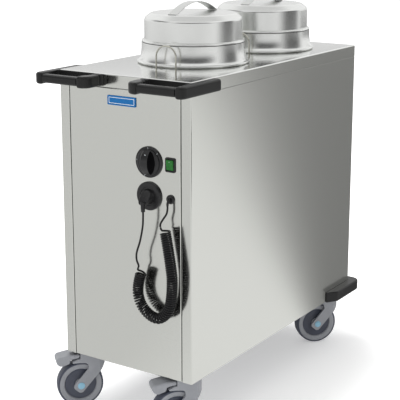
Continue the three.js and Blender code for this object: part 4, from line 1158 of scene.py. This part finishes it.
def lid_shell(lid, node):
    """Lid spun from sheet: rolled rim, flared skirt with a groove near its top, ledge, band, slope and top.

    The skirt's radius grows by the flare times the third power of the share of its height that lies above.
    """
    low, high = box(node)
    x, y, _ = middle(node)
    rim = (high[0] - low[0]) / 2
    foot, top = low[2], high[2]
    ledge, band, crown = rim - LEDGE_INSET, rim - 20, rim - 36
    step = top - 69
    groove = top - GROOVE_DEPTH
    sheet = 1.4
    fall = np.linspace(0, 1, 13)[1:-1]
    skirt_radius = ledge + 0.6 + lid.flare * fall ** 3
    outer_skirt = np.stack([skirt_radius, groove - 1 - (groove - foot - 6) * fall], -1)
    inner_skirt = outer_skirt[::-1] - (sheet, 0)
    profile = rounded([
        (0, top), (crown, top, lid.crown), (band, top - 13, lid.shoulder), (band + 0.2, step + 1, 1.2),
        (ledge + 0.3, step + 0.2, 3.2), (ledge + 0.6, groove + 1.1, 0.3), (ledge - 1, groove + 0.6, 0.2),
        (ledge - 1, groove - 0.6, 0.2), (ledge + 0.6, groove - 1.1, 0.3), *outer_skirt,
        (rim - 5.8, foot + 5.4, 1), (rim, foot + 4.2, lid.bead), (rim, foot, lid.bead),
        (rim - 7.4, foot, 0.5), (rim - 8.2, foot + 5, 1), *inner_skirt,
        (ledge - 2.6, groove - 2.6, 0.6), (ledge - 2.6, step - 2, 1.2), (band - sheet, step - 0.6, 1.0),
        (band - sheet, top - 13.7, lid.shoulder - 1.5), (crown - 0.6, top - sheet, lid.crown - 1.5),
        (0, top - sheet),
    ], closed=False, steps=7)[:, :2]
    return upright(turned(profile, lid.sides), x, y)


def strap_shell(node):
    """Arched strap: a flat section with round edges along a parabola that runs out into two flat feet.

    The height is the mean of the parabola p and the square root of p squared plus 4. That leaves the parabola
    as it is while it is high, and turns it softly into the level where it would go below. Towards both ends
    the strap grows narrower.
    """
    low, high = box(node)
    x, y, _ = middle(node)
    half = (high[1] - low[1]) / 2
    thick = 2.0
    rise = high[2] - low[2] - thick
    s = np.linspace(-half + 1, half - 1, 97)
    hump = rise * (1 - (s / (half - 8)) ** 2)
    height = np.minimum((hump + np.sqrt(hump ** 2 + 4)) / 2, rise)
    path = np.stack([np.full(len(s), x), y + s, low[2] + thick / 2 + height], -1)
    width = (high[0] - low[0]) / 2
    section = rectangle((-width, -thick / 2), (width, thick / 2), 0.9)[:, :2]
    narrow = np.minimum(1, 0.72 + 0.28 * np.sqrt(np.clip((half - np.abs(s)) / 9, 0, 1)))
    section = section[None] * np.stack([narrow, np.ones(len(s))], -1)[:, None]
    return swept(path, section, np.array([0.0, 0.0, 1.0]))


class DISPENSER_OT_lids(bpy.types.Operator):
    """Make the two lids and the strap handle on each"""
    bl_idname = "dispenser.lids"
    bl_label = "Lids"

    def execute(self, context):
        lid = context.scene.dispenser_lid
        for end in ENDS:
            shell = build(f"{end}_spun_lid", [lid_shell(lid, f"{end}_lid")], FINISH["lid"], 50)
            dress(shell, f"{end}_lid", "polished_steel", f"{end}_lid")
            x, y, _ = middle(f"{end}_lid")
            low, high = box(f"{end}_lid")
            place = by_polygon(shell, "center") / MM
            # Painted shade: a thin ring of faces at the groove under the ledge gets the darkened steel.
            at_groove = np.abs(place[:, 2] - high[2] + GROOVE_DEPTH) < 0.95
            ledge = (high[0] - low[0]) / 2 - LEDGE_INSET
            inward = ledge - np.hypot(place[:, 0] - x, place[:, 1] - y)
            second_finish(shell, FINISH["groove"], at_groove & (inward > -0.4) & (inward < 1.2))
            strap = build(f"{end}_strap", [strap_shell(f"{end}_lid_strap")], FINISH["strap"])
            dress(strap, f"{end}_lid", "polished_steel", f"{end}_lid_strap")
        return {"FINISHED"}


GUIDE_WIDTH = 60          # of a wire guide, over its two legs


def guide_shell(node, tube):
    """Wire guide: two upright legs joined by a half circle, facing the tube's axis."""
    wire = 2.25
    low, high = box(node)
    place = middle(node)
    facing = unit(place[:2] - middle(tube)[:2])
    along = np.array([-facing[1], facing[0]])
    half = GUIDE_WIDTH / 2 - wire
    loop = arc((0, high[2] - wire - half), half, 180, 0, 40)
    line = np.vstack([[(-half, low[2])], loop, [(half, low[2])]])
    plan = place[:2] + line[:, :1] * along
    path = np.column_stack([plan, line[:, 1]])
    return swept(path, circle(wire, 14), np.append(facing, 0))


class DISPENSER_OT_guides(bpy.types.Operator):
    """Make the four wire plate guides"""
    bl_idname = "dispenser.guides"
    bl_label = "Plate guides"

    def execute(self, context):
        for tube in ENDS:
            for place in ENDS:
                node = f"{tube}_tube_{place}_guide"
                guide = build(f"{tube}_{place}_wire", [guide_shell(node, f"{tube}_tube")], FINISH["wire"], 80)
                dress(guide, CABINET, "steel_wire", node)
        return {"FINISHED"}


# ---------------------------------------------------------------- handles and bumpers

class MouldingSettings(bpy.types.PropertyGroup):
    """Roundings of the black mouldings, in millimetres."""
    handle_edge: size_setting("Handle edge", "Rounding of the handles' edges", 6.0, 0.5, 10)
    grip_edge: size_setting("Grip edge", "Rounding of the grip bars", 8.0, 1, 10)
    bumper_edge: size_setting("Bumper edge", "Rounding of the bumpers' edges", 4.5, 0.5, 8)


def inner_and_outer(node, side):
    """Places of a node's inner and outer side across the cart, counted from X = 0 towards its own side."""
    low, high = span(node, 0)
    return (low * side, high * side) if side > 0 else (high * side, low * side)


def handle_shells(moulding, name, side):
    """Handle frame on one front corner, in two parts that meet at a seam.

    The first is an inner arm with its knuckle. The second is its foot, with a strip along the rim and the
    outer arm.
    """
    low, high = box(name)
    inner, outer = inner_and_outer(name, side)
    knuckle, arm = inner_and_outer(name.replace("handle", "grip"), side)
    knuckle -= CLEARANCE
    arm += CLEARANCE
    front, tail = low[1], high[1]
    back = FRONT - CLEARANCE
    strip = back - 4
    behind = front + 33
    rib = inner + 25
    big, fine = moulding.handle_edge, 1.5
    seam, gap = back - 14, 0.4
    knuckle_line = rounded([
        (inner, seam - gap, 6.5, big), (inner, front, 24, big), (knuckle, front, 6.8, big),
        (knuckle, behind - 4, 6.5, big), (rib, behind + 6, 6.5, big), (rib, seam - gap, 6.5, big),
    ])
    arm_line = rounded([
        (inner + 0.8, back, 1, 0.5), (inner + 0.8, seam + gap, 4.4, 4), (rib - 0.8, seam + gap, 4.4, 4),
        (rib - 0.8, strip, 3, fine), (arm, strip, 4, fine), (arm, front + 20, 0, big), (arm, front, 6.8, big),
        (outer, front, 16, big), (outer, tail, 9, big), (arm, tail, 2, fine), (arm, back, 0.6, fine),
    ])
    for line in (knuckle_line, arm_line):
        line[:, 0] *= side
    return [raised(line, low[2], high[2], steps=7) for line in (knuckle_line, arm_line)]


def grip_shell(moulding, name):
    """Grip bar between the knuckles: a round-edged section across the cart."""
    low, high = box(name)
    section = rounded([(y, z, moulding.grip_edge) for y, z in (
        (low[1], low[2]), (high[1], low[2]), (high[1], high[2]), (low[1], high[2]))], steps=8)
    return placed(raised(section, low[0], high[0]), (0, 1, 0), (0, 0, 1), (1, 0, 0), (0, 0, 0))


def bumper_shell(moulding, name, side):
    """Bumper wrapped round one rear corner, its two arms running out to a slant."""
    low, high = box(name)
    edge, slant = moulding.bumper_edge, 32
    tip, outer = inner_and_outer(name, side)
    wall = inner_and_outer(name.replace("bumper", "side_panel"), side)[1] + CLEARANCE
    rear = span("rear_panel", 1)[1] + CLEARANCE
    line = rounded([
        (wall, low[1], 1.6, 0.8), (outer, low[1] + slant, 12, edge), (outer, high[1], 25, edge),
        (tip + slant, high[1], 12, edge), (tip, rear, 1.6, 0.8), (wall, rear, 0.4, 0.8),
    ], steps=8)
    line[:, 0] *= side
    return raised(line, low[2], high[2], steps=6)


class DISPENSER_OT_mouldings(bpy.types.Operator):
    """Make the two push handles with their grips, and the two corner bumpers"""
    bl_idname = "dispenser.mouldings"
    bl_label = "Handles and bumpers"

    def execute(self, context):
        moulding = context.scene.dispenser_moulding
        for name, side in SIDES:
            handle, grip, bumper = f"{name}_handle", f"{name}_grip", f"{name}_bumper"
            for piece, shells, slot, node in (
                (f"{name}_handle_frame", handle_shells(moulding, handle, side), "black_moulding", handle),
                (f"{name}_grip_bar", [grip_shell(moulding, grip)], "black_plastic", grip),
                (f"{name}_corner_bumper", [bumper_shell(moulding, bumper, side)], "black_moulding", bumper),
            ):
                dress(build(piece, shells, FINISH["moulding"]), CABINET, slot, node)
        return {"FINISHED"}


# ---------------------------------------------------------------- controls

def knob_wing(reach, half_width, foot, low, crest):
    """Grip wing of the knob: cross sections of a humped bar with hollow flanks, from its lower end up.

    At the share s of the reach, the bar stands crest * (1 - s squared) high and is half_width *
    sqrt(1 - 0.5 s squared) wide on each side, and its flanks run out at foot * sqrt(1 - 0.75 s squared). A
    flank falls with the power 1.9 of the share of its width that is left. The mean of seven near places
    rounds the edge.
    """
    s = np.sin(np.linspace(-np.pi / 2, np.pi / 2, 61))[:, None]
    height = crest * (1 - s * s)
    wide = half_width * np.sqrt(1 - 0.5 * s * s)
    ends = foot * np.sqrt(1 - 0.75 * s * s)
    x = ends * np.linspace(-1, 1, 121)
    near = np.abs(x[..., None] + np.linspace(-0.9, 0.9, 7))
    share = np.clip((ends[..., None] - near) / (ends - wide)[..., None], 0, 1)
    top = low + height * np.mean(share ** 1.9, -1)
    across = np.hstack([x, ends, -ends])
    up = np.hstack([top, 0 * s, 0 * s]) + np.hstack([0 * x, 0 * s + low - 1, 0 * s + low - 1])
    return skin(np.dstack([across, np.broadcast_to(reach * s, across.shape), up]))


def rear_body(x, z, start, end):
    """Round body of a control inside the cabinet, from a height over the panel's face to a place in depth."""
    radius, foot = 22, FRONT - end
    profile = rounded([(0, foot), (radius, foot, 1), (radius, start, 0.2), (0, start)], closed=False)[:, :2]
    return on_front(turned(profile, 48), x, z, FRONT)


DIAL_MARKS = (252, 175, 92, 42)          # directions of the dial's marks, in degrees from its right


class DISPENSER_OT_thermostat(bpy.types.Operator):
    """Make the thermostat's dial disc with its ticks, and the knob with its wing and index dot"""
    bl_idname = "dispenser.thermostat"
    bl_label = "Thermostat"

    def execute(self, context):
        low, high = box("thermostat")
        x, _, z = middle("thermostat")
        radius = (high[2] - low[2]) / 2
        knob_low, knob_high = box("thermostat_knob")
        knob_radius = (knob_high[2] - knob_low[2]) / 2
        face = FRONT - knob_high[1] - 0.4
        spindle, tip = 4, face + 3
        disc = rounded([
            (0, 0), (radius, 0, 0.3), (radius, face, 1.2),
            (spindle, face, 0.2), (spindle, tip, 0.3), (0, tip),
        ], closed=False)[:, :2]
        dial = build("dial_disc", [
            on_front(turned(disc, 96), x, z, FRONT), rear_body(x, z, 0, high[1]),
        ], FINISH["control"])
        dress(dial, CABINET, "black_plastic", "thermostat")
        ticks = []
        for degrees in DIAL_MARKS:
            way = math.radians(degrees)
            mark = raised(rounded([(-0.5, 0), (0.5, 0), (0.5, 2.6), (-0.5, 2.6)]), 0, 0.35)
            up = (math.cos(way), math.sin(way))
            right = (up[1], -up[0])
            start = knob_radius + 1
            ticks.append(placed(
                mark, (right[0], 0, right[1]), (up[0], 0, up[1]), (0, -1, 0),
                (x + start * up[0], FRONT - face + 0.1, z + start * up[1]),
            ))
        dress(build("dial_marks", ticks, FINISH["pale"]), CABINET, "black_plastic")
        base, crest, reach, dot_rise = 3.5, 16.5, 30.5, 20
        skirt = rounded([
            (0, 0), (knob_radius, 0, 0.3), (knob_radius, 2, 1.2), (knob_radius - 4, base, 2), (0, base),
        ], closed=False)[:, :2]
        wing = knob_wing(reach, 11, 24, base, crest)
        knob = build("knob_body", [
            on_front(turned(skirt, 96), x, z, knob_high[1]), on_front(wing, x, z, knob_high[1]),
        ], FINISH["control"])
        dress(knob, "thermostat_knob", "black_plastic", "thermostat_knob")
        # Painted shade: the wing's faces that turn to the right get the near-black, dull finish, standing in
        # for the shade on that flank.
        is_rightward = by_polygon(knob, "normal")[:, 0] > 0.3
        is_wing = by_polygon(knob, "center")[:, 1] / MM < knob_high[1] - base
        second_finish(knob, FINISH["hollow"], is_rightward & is_wing)
        face = base + crest * (1 - (dot_rise / reach) ** 2)
        slope = 2 * crest * dot_rise / reach ** 2
        out = unit(np.array([0, -1, slope]))
        dot = rounded([(0, -1), (1.2, -1, 0.1), (1.2, 0.25, 0.2), (0, 0.25)], closed=False)[:, :2]
        place = (x, knob_high[1] - face, z + dot_rise)
        spot = placed(turned(dot, 24), (1, 0, 0), np.cross(out, (1, 0, 0)), out, place)
        dress(build("knob_dot", [spot], FINISH["pale"]), "thermostat_knob", "black_plastic")
        return {"FINISHED"}


class DISPENSER_OT_switch(bpy.types.Operator):
    """Make the switch: a bevelled frame and the lit rocker in it"""
    bl_idname = "dispenser.switch"
    bl_label = "Switch"

    def execute(self, context):
        low, high = box("switch_housing")
        x, _, z = middle("switch_housing")
        half = np.array([high[0] - low[0], high[2] - low[2]]) / 2
        proud = 3.6
        bezel_rows = pan_rows(-half, half, 5.0, rounded([
            (8, 0), (0, 0, 0.4), (0.6, proud, 1.4), (4.1, proud, 0.8), (4.2, 0.6), (8, 0.6),
        ], closed=False))
        neck = raised(rectangle(3 - half, half - 3, 1), FRONT - high[1], -0.2)
        bezel = build("switch_frame", [
            on_front(skin(bezel_rows), x, z, FRONT), on_front(neck, x, z, FRONT),
        ], FINISH["control"])
        dress(bezel, CABINET, "black_plastic", "switch_housing")
        low, high = box("switch_rocker")
        pivot = PIVOTS["switch_tilt"]
        tall, wide = (high[2] - low[2]) / 2 - 0.6, (high[0] - low[0]) / 2 - 0.4
        crest = pivot[1] - FRONT + 6.6
        dip = math.tan(math.radians(7))
        side = rounded([
            (-tall, -4, 1), (tall, -4, 1), (tall, crest, 1), (0.6, crest - tall * dip, 6),
            (-tall, crest - 2 * tall * dip, 1),
        ])
        side[:, 2] = 0.6
        stand = ((0, 0, 1), (0, -1, 0), (1, 0, 0))
        body = placed(raised(side, -wide, wide), *stand, pivot)
        rocker = build("rocker_cap", [body], FINISH["rocker"])
        dress(rocker, "switch_rocker", "rocker_green", "switch_rocker")
        rise = 8.5
        dot = turned(np.array([(0, -1), (0.7, -1), (0.7, 0.15), (0, 0.15)], float), 24)
        spot = on_front(dot, pivot[0], pivot[2] + rise, pivot[1] - crest + (tall - rise) * dip)
        dress(build("rocker_dot", [spot], FINISH["pale"]), "switch_rocker", "rocker_green")
        return {"FINISHED"}


class DISPENSER_OT_socket(bpy.types.Operator):
    """Make the parking socket: a shallow round dish with a raised rim, and its body behind the panel"""
    bl_idname = "dispenser.socket"
    bl_label = "Parking socket"

    def execute(self, context):
        low, high = box("park_socket")
        x, _, z = middle("park_socket")
        radius = (high[2] - low[2]) / 2
        proud = FRONT - low[1]
        dish = 23
        profile = rounded([
            (0, 0), (radius, 0, 0.4), (radius, proud - 1.6, 0.8), (radius - 2.5, proud, 1.6),
            (dish + 0.6, proud, 0.5), (dish, proud - 1.4, 0.5), (0, proud - 1.4),
        ], closed=False)[:, :2]
        shells = [on_front(turned(profile, 96), x, z, FRONT), rear_body(x, z, -0.2, high[1])]
        dress(build("socket_boss", shells, FINISH["control"]), CABINET, "black_plastic", "park_socket")
        return {"FINISHED"}


# ---------------------------------------------------------------- castors

class CastorSettings(bpy.types.PropertyGroup):
    """Sizes of the castors."""
    heading: bpy.props.FloatProperty(
        name="Heading", description="Direction in which the forks trail, in degrees from +X", default=228)
    trail: size_setting("Trail", "From the swivel axis to the axle", 38, 0, 80)
    wheel: size_setting("Wheel", "Radius of the wheel", 62.5, 20, 120)
    voxel: size_setting("Fillet grain", "Grain of the forks' fillets", 0.9, 0.5, 4)


FORK_TOP = 153.7                         # above the floor
FORK_LEG = ((68, -15.5), (-12, -15.5), (-18, -9.5), (-18, 9.5), (-12, 15.5), (50, 15.5))
LEG_TILT = math.radians(49)              # of the leg, against the floor


def leg_point(castor, up, across):
    """Point of the fork's leg, counted from the axle up along the leg and across it."""
    return (
        castor.trail - up * math.cos(LEG_TILT) + across * math.sin(LEG_TILT),
        castor.wheel + up * math.sin(LEG_TILT) + across * math.cos(LEG_TILT),
    )


def fork_section(castor, braked):
    """Side view of the fork: its head, the slanting leg round the axle and the hood over the wheel."""
    radii = (9, 5, 6, 6, 5, 9)
    leg = [(*leg_point(castor, *point), radius) for point, radius in zip(FORK_LEG, radii)]
    hood = [(19, 124, 8), (28, 126, 8), (45, 127.5, 6)]
    ledge = 138.5
    if braked:
        hood += [
            (61, 127.5, 2.5), (60, ledge - 7.5, 5), (45, ledge, 3), (38.5, ledge, 2), (38.5, FORK_TOP, 2),
        ]
    else:
        hood += [(66, 129.5, 3), (58, 140, 5), (38, FORK_TOP, 6)]
    return rounded([(-30, FORK_TOP, 2), (-30, 118, 6), *leg, *hood], steps=6)


def cut(piece, mode, shell):
    """Boolean of a piece with a closed shell."""
    tool = build("cutter", [shell], None)
    step = piece.modifiers.new("cut", "BOOLEAN")
    step.operation = mode
    step.object = tool
    step.solver = "EXACT"
    shaped = applied(piece)
    piece.modifiers.clear()
    old = piece.data
    piece.data = shaped
    bpy.data.meshes.remove(old)
    bpy.data.meshes.remove(tool.data)


def cylinder(radius, low, high, sides=96):
    """Plain closed cylinder about +Z."""
    return turned(np.array([(0, low), (radius, low), (radius, high), (0, high)], float), sides)


def across_castor(shell, along, height):
    """Shell whose axis was +Z, stood across the castor at a distance along the trail and a height."""
    return placed(shell, (1, 0, 0), (0, 0, 1), (0, -1, 0), (along, 0, height))


def fork_points(castor, braked):
    """Fork in the castor's own frame, without a bore for its kingpin.

    The side view is stretched across, kept to the head's round and the hood, and hollowed for the wheel and
    between the legs. The remesh gives its inner and outer corners cast fillets.
    """
    half, head, slot = 27.0, 30.0, 20.5
    wheel_room, slot_top, tall = 66, 103.5, 200
    section = across_castor(raised(fork_section(castor, braked), -half, half), 0, 0)
    piece = build("fork_blank", [section], None)
    keep = build("keep", [cylinder(head, 0, tall)], None)
    cut(keep, "UNION", raised(rectangle((0, -28), (90, 28), 0), 0, tall))
    cut(piece, "INTERSECT", shell_of(keep.data))
    cut(piece, "DIFFERENCE", across_castor(cylinder(wheel_room, -slot, slot), castor.trail, castor.wheel))
    cut(piece, "DIFFERENCE", raised(rectangle((-60, -slot), (120, slot), 0), 0, slot_top))
    remesh = piece.modifiers.new("fillets", "REMESH")
    remesh.mode = "VOXEL"
    remesh.voxel_size = castor.voxel * MM
    smooth = piece.modifiers.new("smooth", "SMOOTH")
    smooth.factor = 0.5
    smooth.iterations = 10
    fewer = piece.modifiers.new("fewer", "DECIMATE")
    fewer.ratio = 0.35
    shell = shell_of(applied(piece))
    bpy.data.meshes.remove(piece.data)
    return shell


def pedal_shell():
    """Brake pedal: a hooked lever with soft edges, drawn about its pivot."""
    pivot = np.array([45.0, 145.0])
    corner_line = arc((0, 0), 6.2, 110, 290, 8)
    tread = [
        (20, -9, 6), (21, -19, 7), (41, -25.5, 8), (50, -24, 8), (57, -16, 8), (58, -7, 6), (53, -0.5, 6),
        (25, 5, 20),
    ]
    line = rounded([*corner_line, *tread], steps=5)
    line[:, 2] = 4.5
    line[:, :2] += pivot
    return across_castor(raised(line, -24, 24, steps=6), 0, 0)


def plate_shells(node, swivel):
    """Mounting plate square to the cabinet, and the kingpin's boss under it."""
    low, high = box(node)
    under = high[2] - 3
    plate = rectangle(low[:2], high[:2], 8)
    plate[:, 2] = 0.6
    boss = rounded([
        (0, under - 10), (17, under - 10, 1), (18, under - 7.5, 1), (18, under + 0.3, 0.2), (0, under + 0.3),
    ], closed=False)[:, :2]
    return [raised(plate, under, high[2]), upright(turned(boss, 64), swivel[0], swivel[1])]


def castor_shells(castor, braked):
    """Shells of one castor by piece, in the castor's own frame, without its plate."""
    trail, wheel = castor.trail, castor.wheel
    half_ring = [
        (6.2, -15, 0.5), (13, -15, 0.8), (14.5, -12.5, 3), (22, -6, 6), (41, -6, 3), (43.5, -13.5, 4),
        (52, -15.6, 3), (56.6, -15.6, 0.6),
    ]
    ring = rounded([*half_ring, *((r, -y, bend) for r, y, bend in half_ring[::-1])])[:, :2]
    cover = [rounded([
        (14, s * 5, 0.5), (14.6, s * 13.8, 3), (26, s * 10.4, 14), (38, s * 9.4, 4), (42.4, s * 10.5, 0.8),
        (42.4, s * 5, 0.5),
    ])[:, :2] for s in (-1, 1)]
    tread = rounded([
        (56.5, -15.4, 0.8), (58, -17, 1.4), (61.2, -15, 4), (wheel, 0, 60), (61.2, 15, 4), (58, 17, 1.4),
        (56.5, 15.4, 0.8),
    ], steps=8)[:, :2]
    caps = []
    for s in (-1, 1):
        cap = rounded([(0, 0), (9.6, 0, 0.2), (9.6, 1.1, 0.9), (6, 2.4, 5), (0, 2.7)], closed=False)[:, :2]
        caps.append(placed(turned(cap, 40), (1, 0, 0), (0, 0, 1), (0, s, 0), (trail, s * 26.9, wheel)))
    caps.append(across_castor(cylinder(6, -27, 27, 40), trail, wheel))
    tread_shell = turned(anticlockwise(np.column_stack([tread, tread[:, :1] * 0]))[:, :2], 128, loop=True)
    parts = {
        "caster_fork": [fork_points(castor, braked)],
        "wheel": [across_castor(turned(ring, 96, loop=True), trail, wheel)],
        "cover": [across_castor(turned(profile, 96, loop=True), trail, wheel) for profile in cover],
        "tyre": [across_castor(tread_shell, trail, wheel)],
        "axle": caps,
    }
    if braked:
        parts["brake_pedal"] = [pedal_shell()]
    return parts


# Finish, slot and body of each part of a castor.
CASTOR_DRESS = {
    "caster_fork": ("castor", "caster_grey", "caster"),
    "wheel": ("castor", "wheel_grey", "wheel"),
    "cover": ("cover", "tread_navy", "wheel"),
    "tyre": ("tread", "tread_navy", "wheel"),
    "axle": ("cap", "axle_cap_blue", "caster"),
    "brake_pedal": ("pedal", "caster_grey", "pedal"),
}


class DISPENSER_OT_castors(bpy.types.Operator):
    """Make the four castors: plates, forks, wheels with their covers, treads, axles and the brake pedals"""
    bl_idname = "dispenser.castors"
    bl_label = "Castors"

    def execute(self, context):
        castor = context.scene.dispenser_castor
        way = math.radians(castor.heading)
        ahead, across = (math.cos(way), math.sin(way), 0), (-math.sin(way), math.cos(way), 0)
        for end, braked in (("front", True), ("rear", False)):
            parts = castor_shells(castor, braked)
            for name, _ in SIDES:
                corner = f"{end}_{name}"
                swivel = PIVOTS[f"{corner}_swivel"]
                node = f"{corner}_caster_plate"
                plate = build(f"{node}_piece", plate_shells(node, swivel), FINISH["zinc"])
                dress(plate, CABINET, "zinc_plate", node)
                for part, shells in parts.items():
                    material, slot, body = CASTOR_DRESS[part]
                    place = (swivel[0], swivel[1], 0)
                    stood = [placed(shell, ahead, across, (0, 0, 1), place) for shell in shells]
                    piece = build(f"{corner}_{part}_piece", stood, FINISH[material], 35)
                    nodes = [] if part == "cover" else [f"{corner}_{part}"]
                    dress(piece, f"{corner}_{body}", slot, *nodes)
        return {"FINISHED"}


# ---------------------------------------------------------------- add-on

OPERATORS = (
    DISPENSER_OT_stage, DISPENSER_OT_cord, DISPENSER_OT_cabinet, DISPENSER_OT_badge, DISPENSER_OT_tubes,
    DISPENSER_OT_lids, DISPENSER_OT_guides, DISPENSER_OT_mouldings, DISPENSER_OT_thermostat,
    DISPENSER_OT_switch, DISPENSER_OT_socket, DISPENSER_OT_castors,
)
SETTINGS = {
    "dispenser_stage": StageSettings,
    "dispenser_finish": FinishSettings,
    "dispenser_cord": CordSettings,
    "dispenser_cabinet": CabinetSettings,
    "dispenser_lid": LidSettings,
    "dispenser_moulding": MouldingSettings,
    "dispenser_castor": CastorSettings,
}


class DISPENSER_PT_panel(bpy.types.Panel):
    """Sizes and steps of the plate dispenser"""
    bl_idname = "DISPENSER_PT_panel"
    bl_label = "Plate dispenser"
    bl_space_type = "VIEW_3D"
    bl_region_type = "UI"
    bl_category = "Plate dispenser"

    def draw(self, context):
        for name, group in SETTINGS.items():
            part = self.layout.box()
            for field in group.__annotations__:
                part.prop(getattr(context.scene, name), field)
        for operator in OPERATORS:
            self.layout.operator(operator.bl_idname)


def register():
    """Register the settings, the operators and the panel."""
    for group in SETTINGS.values():
        bpy.utils.register_class(group)
    for name, group in SETTINGS.items():
        setattr(bpy.types.Scene, name, bpy.props.PointerProperty(type=group))
    for operator in OPERATORS:
        bpy.utils.register_class(operator)
    bpy.utils.register_class(DISPENSER_PT_panel)


def unregister():
    """Take them away again."""
    bpy.utils.unregister_class(DISPENSER_PT_panel)
    for operator in reversed(OPERATORS):
        bpy.utils.unregister_class(operator)
    for name, group in SETTINGS.items():
        delattr(bpy.types.Scene, name)
        bpy.utils.unregister_class(group)


def main():
    """Build the whole scene."""
    register()
    for operator in OPERATORS:
        group, name = operator.bl_idname.split(".")
        getattr(getattr(bpy.ops, group), name)()


if __name__ == "__main__":
    main()
